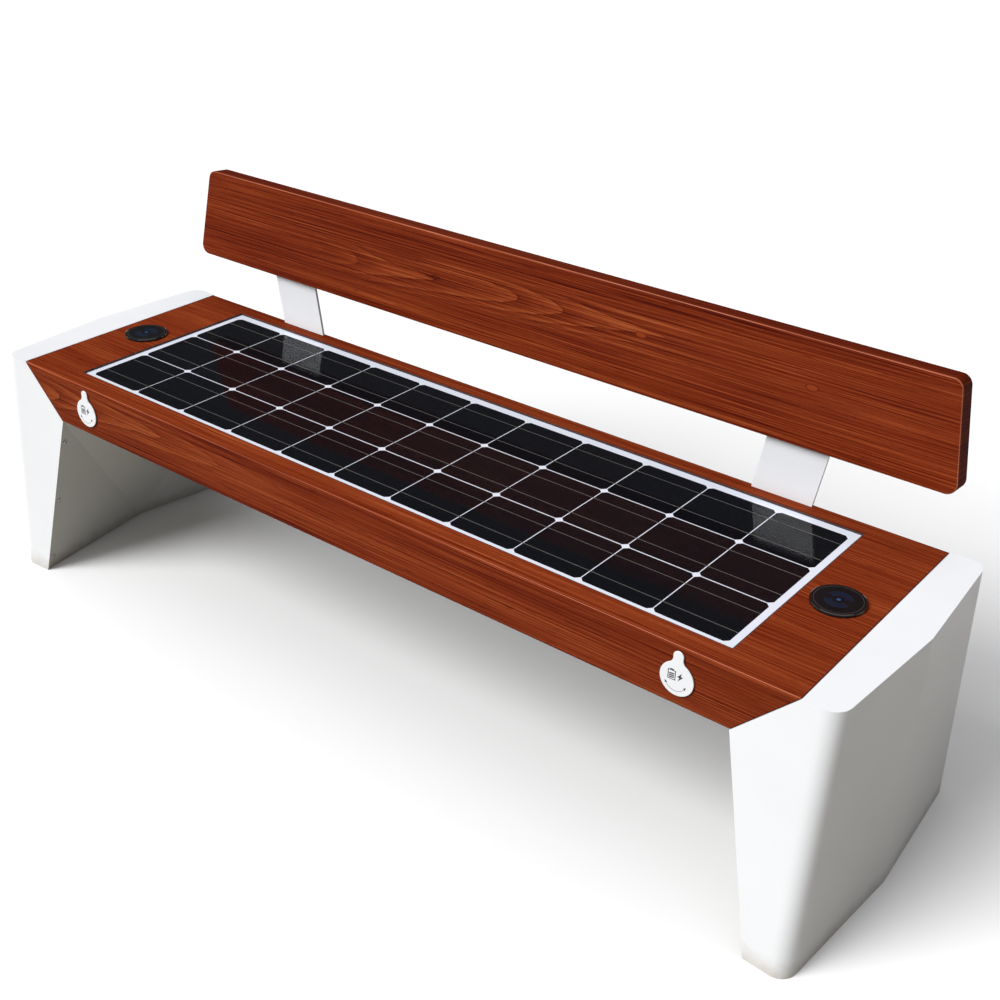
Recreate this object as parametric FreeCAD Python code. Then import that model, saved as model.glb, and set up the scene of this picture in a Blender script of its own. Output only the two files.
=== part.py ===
import FreeCAD, Part
import math
import os

# Solar charging bench in millimetres.
# X runs along the bench, Y to the back, Z up. The origin is on the ground under the middle.
# Pieces are drawn for the +X end and mirrored to the other end where both ends have them.

V = FreeCAD.Vector
os.makedirs("parts", exist_ok=True)

# Seat beam
seat_height = 454.0
seat_half_depth = 240.0
beam_height = 100.0
seam_half_length = 840.0
mitre_run = 98.0
seam_gap = 0.8
cover_sheet = 2.0
cover_top_bend = 4.0
cover_bottom_bend = 4.0
cover_return = 24.0

# Leg shell
leg_top_width = 74.5
facet_turn = 4.1
foot_flare = 39.5
foot_width = 71.5
knee_width = 50.5
corner_radius = 28.0
leg_sheet = 3.0
lip_width = 22.0

# Inner panel of the leg and its screws
panel_sheet = 2.0
panel_recess = 2.0
panel_screw_rows = 3
panel_screw_low = 29.0
panel_screw_top_margin = 51.0
panel_screw_inset = 13.0
panel_screw_radius = 2.5
panel_screw_head_radius = 4.6
panel_screw_head_height = 2.6
panel_screw_length = 12.0

# Base plate and the frame in the leg
plate_gap = 0.5
base_plate_sheet = 6.0
anchor_radius = 7.0
anchor_from_fold = 49.5
anchor_inset = 5.0
post_size = 40.0
post_wall = 3.0
post_from_fold = 44.5
post_inset = 50.0
post_top_drop = 14.0
joint_plate_sheet = 6.0
gusset_sheet = 6.0
gusset_foot_height = 200.0
gusset_rise = 10.0

# Bolted joint between leg and seat
end_plate_sheet = 5.0
end_bolt_radius = 5.0
end_bolt_flats = 17.0
end_bolt_head = 6.4
end_nut_height = 8.0
end_bolt_half_spacing = 120.0
end_bolt_row_gap = 40.0
hole_clearance = 0.25
bolt_end = 1.0
round_sides = 8
overshoot = 1.0

# Seat frame
rail_width = 25.0
rail_height = 40.0
rail_wall = 2.0
cross_width = 25.0
cross_height = 25.0
cross_middle_x = 200.0
cross_from_seam = 195.0
rail_clear_of_sockets = 9.0

# Underside panel and its screws
underside_sheet = 1.5
underside_edge = 10.0
underside_end = 6.0
underside_screws_per_side = 7
underside_screw_end = 74.0
underside_screw_edge = 14.0
underside_screw_radius = 2.0
underside_screw_head_radius = 4.0
underside_screw_head_height = 2.2
underside_screw_length = 10.0

# Solar laminate
cell_length = 125.0
cell_width = 123.0
cell_corner = 6.5
cell_sheet = 0.3
column_gap = 2.0
row_gap = 2.5
border_end = 14.0
border_front = 11.0
border_rear = 17.0
laminate_from_charger = 17.0
laminate_from_front = 41.0
laminate_from_rear = 35.0
glass_sheet = 3.2
film_depth = 0.6
backsheet_sheet = 0.4
ribbon_width = 1.6
ribbon_sheet = 0.15
ribbon_spacing = 62.5
seal_width = 2.0
seal_slack = 0.1
seal_drop = 0.4
tray_sheet = 1.5
tray_flange = 14.0
junction_box_size = (110.0, 70.0, 18.0)
junction_box_from_rear = 54.0
junction_box_corner = 5.0
junction_box_slack = 2.0

# Wireless chargers
charger_from_seam = 69.0
charger_radius = 42.0
charger_rise = 5.0
charger_edge = 1.8
charger_edge_middle = 0.55
charger_disc_radius = 38.5
charger_disc_sheet = 1.6
charger_disc_drop = 0.3
charger_disc_slack = 0.15
charger_barrel_radius = 30.0
charger_barrel_depth = 20.0
charger_floor = 3.0
charger_wall = 3.0
charger_nut_radius = 36.0
charger_nut_height = 6.0
charger_nut_notches = 6
charger_nut_notch_width = 6.0
charger_nut_notch_depth = 2.0
coil_outer_radius = 25.0
coil_inner_radius = 10.0
coil_height = 3.0

# Socket units on the seat front and their swinging covers
socket_from_seam = 185.0
socket_drop = 53.5
pivot_lift = 37.5
drop_radius = 27.5
drop_lobe_radius = 8.4
drop_neck_radius = 12.0
cover_plate = 1.6
cover_edge = 0.4
cover_gap = 0.3
flange_sheet = 1.0
flange_inset = 1.2
gasket_sheet = 0.6
gasket_inset = 1.8
socket_barrel_radius = 21.5
socket_barrel_slack = 0.2
socket_depth = 50.0
port_width = 13.2
port_height = 6.0
port_depth = 14.0
port_spacing = 15.0
locknut_flats = 50.0
locknut_height = 7.0
stud_radius = 3.0
stud_running_gap = 0.05
stud_free_gap = 0.5
bush_radius = 5.0
bush_collar_radius = 7.0
bush_collar = 2.0
bush_length = 8.0
pivot_nut_flats = 10.0
pivot_nut_height = 4.0
pivot_nut_gap = 0.3
thread_slack = 0.1

# Backrest
back_lift = 104.0
back_setback = 23.1
back_lean = 5.44
back_height = 178.1
back_taper = 28.4
back_thickness = 35.5
back_corner = 18.0
back_edge = 2.5
back_sheet = 2.0
back_lip = 12.0
back_cover_sheet = 1.5
back_cover_gap = 0.5
back_rail_width = 30.0
back_rail_wall = 1.5
back_rail_low = 38.0
back_rail_high = 108.0
back_rail_end = 60.0
back_screw_columns = 5
back_screw_end = 140.0
back_screw_edge = 8.0
back_screw_radius = 2.0
back_screw_head_radius = 3.8
back_screw_head_height = 2.2
back_screw_length = 8.0

# Brackets that carry the backrest
bracket_setback = 9.5
bracket_sheet = 5.0
bracket_from_seam = 342.5
bracket_width = 111.0
bracket_slant = 9.9
bracket_reach = 150.0
bracket_slot_gap = 1.0
bracket_bolt_radius = 4.0
bracket_bolt_flats = 13.0
bracket_bolt_head = 5.0
bracket_bolt_half_x = 32.0
bracket_bolt_half_z = 10.0

# Battery, controller, converter and leads
battery_size = (340.0, 170.0, 60.0)
battery_from_box_lead = 40.0
battery_edge = 6.0
converter_corner = 4.0
strap_width = 20.0
strap_sheet = 1.5
strap_foot = 18.0
strap_place = 110.0
controller_size = (150.0, 100.0, 38.0)
controller_place = (-345.0, 10.0)
controller_fins = 9
controller_fin_height = 8.0
controller_fin_width = 3.0
converter_size = (100.0, 80.0, 32.0)
converter_place = (330.0, 0.0)
lead_radius = 3.0
lead_sides = 6
lead_bend_share = 0.45
lead_height = 10.0
lead_from_battery = 50.0
lead_box_exit = 30.0
lead_socket_step = 15.0
lead_charger_step = 20.0
lead_socket_rise = 22.0
lead_socket_turn = 60.0
lead_socket_run = 100.0
lead_charger_rise = 36.0
lead_charger_turn = (130.0, 60.0)
lead_charger_side = 8.0
lead_charger_drop = 22.0
clip_length = 10.0
clip_wall = 2.5
clip_spacing = 180.0
clip_from_unit = 140.0

# Planes and places worked out from the sizes above
fold_x = seam_half_length + leg_top_width
knee_x = fold_x - knee_width
foot_half_depth = seat_half_depth + foot_flare
beam_bottom = seat_height - beam_height
turn = math.radians(facet_turn)
foot_outer_x = fold_x - foot_half_depth * math.tan(turn)
foot_inner_x = foot_outer_x - foot_width
mitre_slope = mitre_run / beam_height
mitre_normal = V(-1.0, 0.0, mitre_slope).normalize()

seam_top = V(seam_half_length, -seat_half_depth, seat_height)
seam_bottom = V(seam_half_length - mitre_run, -seat_half_depth, beam_bottom)
foot_corner = V(foot_outer_x, -foot_half_depth, 0.0)
flange_normal = (foot_corner - seam_top).cross(seam_bottom - seam_top).normalize()
if flange_normal.y > 0.0:
    flange_normal = flange_normal.negative()
foot_inner_y = seam_top.y - (
    flange_normal.x * (foot_inner_x - seam_top.x) - flange_normal.z * seam_top.z
) / flange_normal.y
foot_inner = V(foot_inner_x, foot_inner_y, 0.0)
knee = V(knee_x, 0.0, 0.0)

upper_facet_normal = V(beam_bottom, 0.0, knee_x - seam_bottom.x).normalize()
lower_facet_normal = (foot_inner - seam_bottom).cross(knee - seam_bottom).normalize()
if lower_facet_normal.x < 0.0:
    lower_facet_normal = lower_facet_normal.negative()

beam_top_inner = seat_height - cover_sheet
panel_back = panel_recess + panel_sheet
lip_back = panel_back + leg_sheet

charger_x = seam_half_length - charger_from_seam
length_for_cells = 2.0 * (charger_x - charger_radius - laminate_from_charger - border_end)
cell_columns = int((length_for_cells + column_gap) // (cell_length + column_gap))
depth_for_laminate = 2.0 * seat_half_depth - laminate_from_front - laminate_from_rear
width_for_cells = depth_for_laminate - border_front - border_rear
cell_rows = int((width_for_cells + row_gap) // (cell_width + row_gap))
array_half_length = (cell_columns * cell_length + (cell_columns - 1) * column_gap) / 2.0
array_half_width = (cell_rows * cell_width + (cell_rows - 1) * row_gap) / 2.0
laminate_x = array_half_length + border_end
laminate_front = -array_half_width - border_front
laminate_rear = array_half_width + border_rear
glass_bottom = seat_height - glass_sheet
backsheet_top = glass_bottom - film_depth
laminate_bottom = backsheet_top - backsheet_sheet
tray_bottom = laminate_bottom - tray_sheet
junction_box_y = laminate_rear - junction_box_from_rear

bracket_y = seat_half_depth - bracket_setback
rail_rear_y = (bracket_y - rail_width, bracket_y)
rail_front_start = -seat_half_depth + socket_depth + rail_clear_of_sockets
rail_front_y = (rail_front_start, rail_front_start + rail_width)
rail_z = (tray_bottom - rail_height, tray_bottom)

socket_x = seam_half_length - socket_from_seam
socket_z = seat_height - socket_drop
pivot_z = socket_z + pivot_lift
apron_inner_y = -seat_half_depth + cover_sheet
battery_y = junction_box_y - battery_from_box_lead - battery_size[1] / 2.0
aisle_y = battery_y - battery_size[1] / 2.0 - lead_from_battery

lean = math.radians(back_lean)
back_base = V(0.0, seat_half_depth - back_setback, seat_height + back_lift)
bracket_depth_in_back = (bracket_y - back_base.y) * math.cos(lean)
slant = math.tan(math.radians(bracket_slant))


def box(x, y, z):
    """A block given by its low and high value along each axis."""
    return Part.makeBox(x[1] - x[0], y[1] - y[0], z[1] - z[0], V(x[0], y[0], z[0]))


def trim(shape, point, normal):
    """Take away the side of a plane that its normal points to."""
    reach = 8.0 * fold_x
    side = Part.makeBox(reach, reach, reach, V(-reach / 2.0, -reach / 2.0, 0.0))
    side.Placement = FreeCAD.Placement(point, FreeCAD.Rotation(V(0, 0, 1), normal))
    return shape.cut(side)


def aim(shape, point, direction):
    """Turn a shape drawn on Z so that it points along a direction, and move it to a point."""
    placed = shape.copy()
    move = FreeCAD.Placement(point, FreeCAD.Rotation(V(0, 0, 1), direction))
    placed.Placement = move.multiply(shape.Placement)
    return placed


def turned(profile):
    """A solid of revolution about Z from its half section of radius and height pairs."""
    points = [V(radius, 0.0, height) for radius, height in profile]
    wire = Part.makePolygon(points + [points[0]])
    return Part.Face(wire).revolve(V(0, 0, 0), V(0, 0, 1), 360.0)


def cylinder(radius, start, end):
    return Part.makeCylinder(radius, (end - start).Length, start, end - start)


def polygon(sides, corner):
    """A regular polygon about Z on the XY plane, given by the radius of its corners."""
    step = 2.0 * math.pi / sides
    points = [V(corner * math.cos(k * step), corner * math.sin(k * step), 0) for k in range(sides)]
    return Part.makePolygon(points + [points[0]])


def prism(sides, corner, low, high):
    face = Part.Face(polygon(sides, corner))
    return face.extrude(V(0, 0, high - low)).translated(V(0, 0, low))


def small_bar(radius, low, high):
    """A small round bar about Z, flat sided so that many of them stay light."""
    return prism(round_sides, radius, low, high)


def small_hole(radius, start, end):
    """The cut that a small bar passes through, with its flats outside the bar's radius."""
    corner = radius / math.cos(math.pi / round_sides)
    return aim(prism(round_sides, corner, 0.0, (end - start).Length), start, end - start)


def screw(radius, length, head_radius, head_height):
    """A cylinder head screw on Z; its head stands above the XY plane."""
    return small_bar(head_radius, 0.0, head_height).fuse(small_bar(radius, -length, 0.0))


def hexagon(flats, height):
    """A hexagonal prism that stands on the XY plane."""
    return prism(6, flats / math.sqrt(3.0), 0.0, height)


def hex_bolt(radius, length, flats, head_height):
    """A hexagon head bolt on Z, with its head above the XY plane."""
    return hexagon(flats, head_height).fuse(small_bar(radius, -length, 0.0))


def nut(radius, flats, height):
    """A hexagon nut that stands on the XY plane."""
    return hexagon(flats, height).cut(small_hole(radius + thread_slack, V(0, 0, 0), V(0, 0, height)))


def fuse_all(shapes):
    whole = shapes[0].multiFuse(shapes[1:])
    return whole.removeSplitter()


def cut_all(shape, tools):
    return shape.cut(Part.makeCompound(tools))


def mirror_x(shape):
    return shape.mirror(V(0, 0, 0), V(1, 0, 0))


def mirror_y(shape):
    return shape.mirror(V(0, 0, 0), V(0, 1, 0))


def other_end(point):
    """The same point at the other end of the bench."""
    return V(-point.x, point.y, point.z)


def front_and_back(shapes):
    return shapes + [mirror_y(shape) for shape in shapes]


def both_ends(shapes):
    return shapes + [mirror_x(shape) for shape in shapes]


def long_edges(shape, direction):
    """The straight edges of a shape that run along a direction."""
    found = []
    for edge in shape.Edges:
        along = edge.Vertexes[-1].Point - edge.Vertexes[0].Point
        if along.Length > 1e-6 and along.cross(direction).Length < 1e-6 * along.Length:
            found.append(edge)
    return found


# Leg pieces

def between_flanges(inset):
    """All that lies between the front and rear flange of the leg, less an inset."""
    wide = 2.0 * foot_half_depth
    block = box((seam_half_length - 2.0 * mitre_run, 2.0 * fold_x), (-wide, wide), (-wide, 2.0 * seat_height))
    for side in (1.0, -1.0):
        normal = V(flange_normal.x, side * flange_normal.y, flange_normal.z)
        point = V(seam_top.x, side * seam_top.y, seam_top.z) - normal * inset
        block = trim(block, point, normal)
    return block


def leg_block(inset, bottom):
    """The leg's outline filled solid, inside its sheet by an inset, with rounded upright corners."""
    block = between_flanges(inset)
    block = trim(block, V(0, 0, bottom), V(0, 0, -1))
    block = trim(block, V(0, 0, seat_height - inset), V(0, 0, 1))
    for side in (1.0, -1.0):
        normal = V(math.cos(turn), -side * math.sin(turn), 0.0)
        block = trim(block, V(fold_x, 0, 0) - normal * inset, normal)
    corners = []
    for edge in block.Edges:
        middle = (edge.Vertexes[0].Point + edge.Vertexes[-1].Point) * 0.5
        tall = abs(edge.Vertexes[-1].Point.z - edge.Vertexes[0].Point.z) > 0.5 * seat_height
        if tall and middle.x > seam_half_length and abs(middle.y) > 0.5 * seat_half_depth:
            corners.append(edge)
    return block.makeFillet(corner_radius - inset, corners)


def knee_space(depth):
    """The space inside the leg's three inner facets, deepened into the leg by a depth."""
    wide = 2.0 * foot_half_depth
    space = box((seam_half_length - 3.0 * mitre_run, 2.0 * fold_x), (-wide, wide), (-wide, 2.0 * seat_height))
    space = trim(space, knee + upper_facet_normal * depth, upper_facet_normal)
    for side in (1.0, -1.0):
        normal = V(lower_facet_normal.x, side * lower_facet_normal.y, lower_facet_normal.z)
        space = trim(space, knee + normal * depth, normal)
    return space


def mitre_point(depth):
    """A point on the plane that lies a depth behind the seam, into the leg."""
    return seam_top - mitre_normal * depth


def lip_region():
    inner = knee_space(lip_back).cut(knee_space(panel_back))
    return trim(inner, V(0, 0, beam_bottom), V(0, 0, 1)).cut(between_flanges(lip_width))


def leg_shell():
    """Folded sheet: top, two outer facets, two flanges and the lips that carry the inner panel."""
    outline = trim(leg_block(0.0, 0.0).cut(knee_space(0.0)), mitre_point(0.0), mitre_normal)
    walls = outline.cut(leg_block(leg_sheet, -seat_height))
    shell = walls.fuse(lip_region().common(outline)).removeSplitter()
    return cut_all(shell, panel_screw_holes())


def panel_screw_places():
    """Screw points on the outer face of the inner panel, along its front edge."""
    up = (seam_bottom - foot_inner).normalize()
    inward = up.cross(lower_facet_normal)
    if inward.y < 0.0:
        inward = inward.negative()
    top_row = beam_bottom - panel_screw_top_margin
    pitch = (top_row - panel_screw_low) / (panel_screw_rows - 1)
    places = []
    for row in range(panel_screw_rows):
        height = panel_screw_low + row * pitch
        point = foot_inner + up * (height / up.z) + inward * panel_screw_inset
        places.append(point + lower_facet_normal * panel_recess)
    return places


def panel_screw_holes():
    reach = lower_facet_normal * (2.0 * panel_screw_length)
    radius = panel_screw_radius + hole_clearance
    return front_and_back([small_hole(radius, p - reach, p + reach) for p in panel_screw_places()])


def leg_panel_screws():
    one = screw(panel_screw_radius, panel_screw_length, panel_screw_head_radius, panel_screw_head_height)
    outward = lower_facet_normal.negative()
    return both_ends(front_and_back([aim(one, p, outward) for p in panel_screw_places()]))


def leg_inner_panel():
    """The three-faceted access panel, screwed to the lips of the shell."""
    sheet = knee_space(panel_back).cut(knee_space(panel_recess))
    sheet = sheet.common(between_flanges(leg_sheet + plate_gap))
    sheet = trim(sheet, V(0, 0, beam_bottom - 2.0 * plate_gap), V(0, 0, 1))
    sheet = trim(sheet, V(0, 0, 2.0 * plate_gap), V(0, 0, -1))
    return cut_all(sheet, panel_screw_holes())


def base_plate():
    plate = leg_block(leg_sheet + plate_gap, 0.0)
    plate = trim(plate, V(0, 0, base_plate_sheet), V(0, 0, 1))
    plate = plate.cut(knee_space(lip_back + plate_gap))
    anchor_y = seat_half_depth - anchor_inset
    anchor = V(fold_x - anchor_from_fold, -anchor_y, 0)
    hole = Part.makeCylinder(anchor_radius, 2.0 * base_plate_sheet, anchor)
    return cut_all(plate, front_and_back([hole]))


def leg_frame():
    """Two posts, the plate behind the mitre seam and the gussets between them, welded."""
    plate = leg_block(leg_sheet + plate_gap, 0.0).cut(knee_space(lip_back + plate_gap))
    plate = trim(plate, mitre_point(0.0), mitre_normal)
    plate = trim(plate, mitre_point(joint_plate_sheet), mitre_normal.negative())
    plate = trim(plate, V(0, 0, beam_bottom + plate_gap), V(0, 0, -1))
    plate = cut_all(plate, end_bolt_holes())

    post_x = fold_x - post_from_fold - post_size / 2.0
    post_y = -seat_half_depth + post_inset
    post_top = seat_height - post_top_drop
    across = (post_y - post_size / 2.0, post_y + post_size / 2.0)
    post = box((post_x, post_x + post_size), across, (base_plate_sheet, post_top))
    bore = box((post_x + post_wall, post_x + post_size - post_wall),
               (across[0] + post_wall, across[1] - post_wall), (0.0, seat_height))

    middle = joint_plate_sheet / 2.0
    high = seam_top - mitre_normal * middle
    slide_up = (seat_height - post_top) + middle * mitre_normal.z
    slide_down = beam_height - gusset_rise
    along = (seam_bottom - seam_top) * (1.0 / beam_height)
    outline = [high + along * slide_up, high + along * slide_down,
               V(post_x + post_wall, 0, gusset_foot_height), V(post_x + post_wall, 0, post_top)]
    outline = [V(p.x, post_y - gusset_sheet / 2.0, min(p.z, post_top)) for p in outline]
    gusset = Part.Face(Part.makePolygon(outline + [outline[0]])).extrude(V(0, gusset_sheet, 0))
    post = post.fuse(gusset).cut(bore)
    return fuse_all([plate] + front_and_back([post]))


# Joint between leg and seat

def end_bolt_places():
    """Bolt points on the mitre plane."""
    along = (seam_bottom - seam_top) * (1.0 / beam_height)
    places = []
    for row in (-0.5, 0.5):
        drop = beam_height / 2.0 + row * end_bolt_row_gap
        point = seam_top + along * drop
        places.append(V(point.x, -end_bolt_half_spacing, point.z))
    return places


def end_bolt_holes():
    reach = mitre_normal * (2.0 * (joint_plate_sheet + end_plate_sheet))
    radius = end_bolt_radius + hole_clearance
    return front_and_back([small_hole(radius, p - reach, p + reach) for p in end_bolt_places()])


def seat_end_bolts():
    """Bolts with their heads in the leg and their nuts in the seat."""
    length = joint_plate_sheet + end_plate_sheet + end_nut_height + bolt_end
    bolt = hex_bolt(end_bolt_radius, length, end_bolt_flats, end_bolt_head)
    end_nut = nut(end_bolt_radius, end_bolt_flats, end_nut_height)
    fasteners = []
    for point in end_bolt_places():
        fasteners.append(aim(bolt, point - mitre_normal * joint_plate_sheet, mitre_normal.negative()))
        fasteners.append(aim(end_nut, point + mitre_normal * end_plate_sheet, mitre_normal))
    return both_ends(front_and_back(fasteners))


def beam_block(inset):
    """The seat beam filled solid, inside its sheet by an inset, with its long edges rounded."""
    block = box((-2.0 * fold_x, 2.0 * fold_x), (inset - seat_half_depth, seat_half_depth - inset),
                (beam_bottom + inset, seat_height - inset))
    edges = long_edges(block, V(1, 0, 0))
    top = [edge for edge in edges if edge.Vertexes[0].Point.z > seat_height - beam_height / 2.0]
    block = block.makeFillet(cover_top_bend - inset, top)
    edges = long_edges(block, V(1, 0, 0))
    bottom = [edge for edge in edges if edge.Vertexes[0].Point.z < beam_bottom + inset + 0.01]
    bottom = [edge for edge in bottom if abs(edge.Vertexes[0].Point.y) > seat_half_depth - inset - 0.01]
    return block.makeFillet(cover_bottom_bend - inset, bottom)


def trim_to_seams(shape, depth):
    """Cut a long piece at both mitre planes, moved towards the middle by a depth."""
    shape = trim(shape, mitre_point(-depth), mitre_normal.negative())
    return trim(shape, V(-mitre_point(-depth).x, 0, mitre_point(-depth).z), V(-1.0, 0.0, -mitre_slope))


def seat_end_plate():
    plate = beam_block(cover_sheet + plate_gap)
    plate = trim(plate, mitre_point(0.0), mitre_normal.negative())
    plate = trim(plate, mitre_point(-end_plate_sheet), mitre_normal)
    return cut_all(plate, end_bolt_holes())


# Seat pieces

def seat_cover():
    """Folded wood-grain sheet: top, two aprons and two returns, with its openings."""
    cover = trim_to_seams(beam_block(0.0), seam_gap)
    cover = cover.cut(beam_block(cover_sheet))
    gap = seat_half_depth - cover_return
    long = (-2.0 * fold_x, 2.0 * fold_x)
    opening = box(long, (-gap, gap), (beam_bottom - cover_sheet, beam_bottom + 2.0 * cover_sheet))
    window = box((-laminate_x - seal_width, laminate_x + seal_width),
                 (laminate_front - seal_width, laminate_rear + seal_width),
                 (beam_top_inner - cover_sheet, seat_height + cover_sheet))
    barrel = charger_barrel_radius + socket_barrel_slack
    charger = Part.makeCylinder(barrel, 4.0 * cover_sheet, V(charger_x, 0, beam_top_inner - cover_sheet))
    cuts = [charger, bracket_slot()] + socket_holes()
    return cut_all(cover, [opening, window] + both_ends(cuts) + underside_screw_holes())


def bracket_slot():
    start = seam_half_length - bracket_from_seam - bracket_slot_gap
    end = start + bracket_width + 2.0 * bracket_slot_gap
    return box((start, end), (bracket_y - bracket_slot_gap, bracket_y + bracket_sheet + bracket_slot_gap),
               (seat_height - cover_top_bend - cover_sheet, seat_height + cover_sheet))


def socket_holes():
    """Holes in the front apron for the socket barrel and for the pivot bush."""
    outside = -seat_half_depth - cover_sheet
    inside = apron_inner_y + cover_sheet
    barrel = cylinder(socket_barrel_radius + socket_barrel_slack,
                      V(socket_x, outside, socket_z), V(socket_x, inside, socket_z))
    bush = cylinder(bush_radius + socket_barrel_slack,
                    V(socket_x, outside, pivot_z), V(socket_x, inside, pivot_z))
    return [barrel, bush]


def seat_frame():
    """Two long rails with cross members, welded to the end plates; it carries the tray."""
    long = (-2.0 * fold_x, 2.0 * fold_x)
    rails = []
    for across in (rail_front_y, rail_rear_y):
        rail = box(long, across, rail_z)
        bore = box(long, (across[0] + rail_wall, across[1] - rail_wall),
                   (rail_z[0] + rail_wall, rail_z[1] - rail_wall))
        rails.append(trim_to_seams(rail, end_plate_sheet).cut(bore))
    members = []
    for place in (cross_middle_x, seam_half_length - cross_from_seam):
        span = (place - cross_width / 2.0, place + cross_width / 2.0)
        members.append(box(span, (rail_front_y[1], rail_rear_y[0]), (rail_z[1] - cross_height, rail_z[1])))
    frame = fuse_all(rails + both_ends(members))
    return cut_all(frame, both_ends(bracket_seat_holes()))


def underside_z():
    return (beam_bottom - underside_sheet, beam_bottom)


def underside_panel():
    end = seam_half_length - mitre_run - underside_end
    side = seat_half_depth - underside_edge
    return cut_all(box((-end, end), (-side, side), underside_z()), underside_screw_holes())


def underside_screw_places():
    end = seam_half_length - mitre_run - underside_screw_end
    pitch = 2.0 * end / (underside_screws_per_side - 1)
    side = seat_half_depth - underside_screw_edge
    return [V(-end + k * pitch, -side, underside_z()[0]) for k in range(underside_screws_per_side)]


def underside_screw_holes():
    radius = underside_screw_radius + hole_clearance
    reach = V(0, 0, underside_screw_length)
    return front_and_back([small_hole(radius, p - reach, p + reach) for p in underside_screw_places()])


def underside_screws():
    one = screw(underside_screw_radius, underside_screw_length, underside_screw_head_radius,
                underside_screw_head_height)
    return front_and_back([aim(one, p, V(0, 0, -1)) for p in underside_screw_places()])


# Solar laminate

def laminate_layer(low, high):
    return box((-laminate_x, laminate_x), (laminate_front, laminate_rear), (low, high))


def solar_cell():
    """One cell with its four corners cut off, centred on the origin."""
    half_x = cell_length / 2.0
    half_y = cell_width / 2.0
    points = []
    for sx, sy in ((1, -1), (1, 1), (-1, 1), (-1, -1)):
        near_side = V(sx * half_x, sy * (half_y - cell_corner), 0)
        near_end = V(sx * (half_x - cell_corner), sy * half_y, 0)
        points += [near_side, near_end] if sx * sy > 0 else [near_end, near_side]
    return Part.Face(Part.makePolygon(points + [points[0]])).extrude(V(0, 0, cell_sheet))


def row_places():
    pitch = cell_width + row_gap
    return [(row - (cell_rows - 1) / 2.0) * pitch for row in range(cell_rows)]


def solar_cells():
    pitch = cell_length + column_gap
    columns = [(column - (cell_columns - 1) / 2.0) * pitch for column in range(cell_columns)]
    cell = solar_cell()
    return [cell.translated(V(x, y, backsheet_top)) for y in row_places() for x in columns]


def cell_ribbons():
    """Two flat ribbons along each row of cells."""
    low = backsheet_top + cell_sheet
    ribbons = []
    for row in row_places():
        for side in (-0.5, 0.5):
            y = row + side * ribbon_spacing
            ribbons.append(box((-array_half_length, array_half_length),
                               (y - ribbon_width / 2.0, y + ribbon_width / 2.0), (low, low + ribbon_sheet)))
    return ribbons


def laminate_ring(grow_out, grow_in, low, high):
    outer = box((-laminate_x - grow_out, laminate_x + grow_out),
                (laminate_front - grow_out, laminate_rear + grow_out), (low, high))
    inner = box((-laminate_x - grow_in, laminate_x + grow_in),
                (laminate_front - grow_in, laminate_rear + grow_in), (low - overshoot, high + overshoot))
    return outer.cut(inner)


def solar_seal():
    return laminate_ring(seal_width - seal_slack, seal_slack, laminate_bottom, seat_height - seal_drop)


def solar_tray():
    """Shallow pan under the laminate, hung from the seat top by its flange."""
    wall = seal_width + tray_sheet
    floor = box((-laminate_x - wall, laminate_x + wall), (laminate_front - wall, laminate_rear + wall),
                (tray_bottom, laminate_bottom))
    walls = laminate_ring(wall, seal_width, laminate_bottom, beam_top_inner)
    flange = laminate_ring(wall + tray_flange, seal_width, beam_top_inner - tray_sheet, beam_top_inner)
    window = junction_box().BoundBox
    slack = junction_box_slack
    hole = box((window.XMin - slack, window.XMax + slack), (window.YMin - slack, window.YMax + slack),
               (tray_bottom - overshoot, laminate_bottom + overshoot))
    return fuse_all([floor, walls, flange]).cut(hole)


def junction_box():
    length, depth, height = junction_box_size
    block = box((-length / 2.0, length / 2.0), (junction_box_y - depth / 2.0, junction_box_y + depth / 2.0),
                (laminate_bottom - height, laminate_bottom))
    return block.makeFillet(junction_box_corner, long_edges(block, V(0, 0, 1)))


# Wireless chargers

def charger_housing():
    """Rim on the seat top and the threaded cup below it, in one moulding."""
    high = charger_rise
    seat = high - charger_disc_drop - charger_disc_sheet
    rim = turned([(0.0, 0.0), (charger_radius, 0.0), (charger_radius, high - charger_edge),
                  (charger_radius - charger_edge_middle, high - charger_edge_middle),
                  (charger_radius - charger_edge, high), (0.0, high)])
    cup = Part.makeCylinder(charger_barrel_radius, charger_barrel_depth, V(0, 0, -charger_barrel_depth))
    recess = Part.makeCylinder(charger_disc_radius, charger_rise, V(0, 0, seat))
    floor = charger_floor - charger_barrel_depth
    hollow = Part.makeCylinder(charger_barrel_radius - charger_wall, seat - floor, V(0, 0, floor))
    moulding = rim.fuse(cup).removeSplitter()
    return cut_all(moulding, [recess, hollow]).translated(V(charger_x, 0, seat_height))


def charger_disc():
    low = charger_rise - charger_disc_drop - charger_disc_sheet
    disc = Part.makeCylinder(charger_disc_radius - charger_disc_slack, charger_disc_sheet, V(0, 0, low))
    return disc.translated(V(charger_x, 0, seat_height))


def charger_nut():
    """Ring nut that clamps the housing from under the seat top."""
    ring = Part.makeCylinder(charger_nut_radius, charger_nut_height)
    bore = Part.makeCylinder(charger_barrel_radius + thread_slack, charger_nut_height)
    half = charger_nut_notch_width / 2.0
    notches = []
    for k in range(charger_nut_notches):
        notch = box((charger_nut_radius - charger_nut_notch_depth, 2.0 * charger_nut_radius), (-half, half),
                    (-charger_nut_height, 2.0 * charger_nut_height))
        notch.rotate(V(0, 0, 0), V(0, 0, 1), 360.0 * k / charger_nut_notches)
        notches.append(notch)
    ring = cut_all(ring, [bore] + notches)
    return ring.translated(V(charger_x, 0, beam_top_inner - charger_nut_height))


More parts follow.
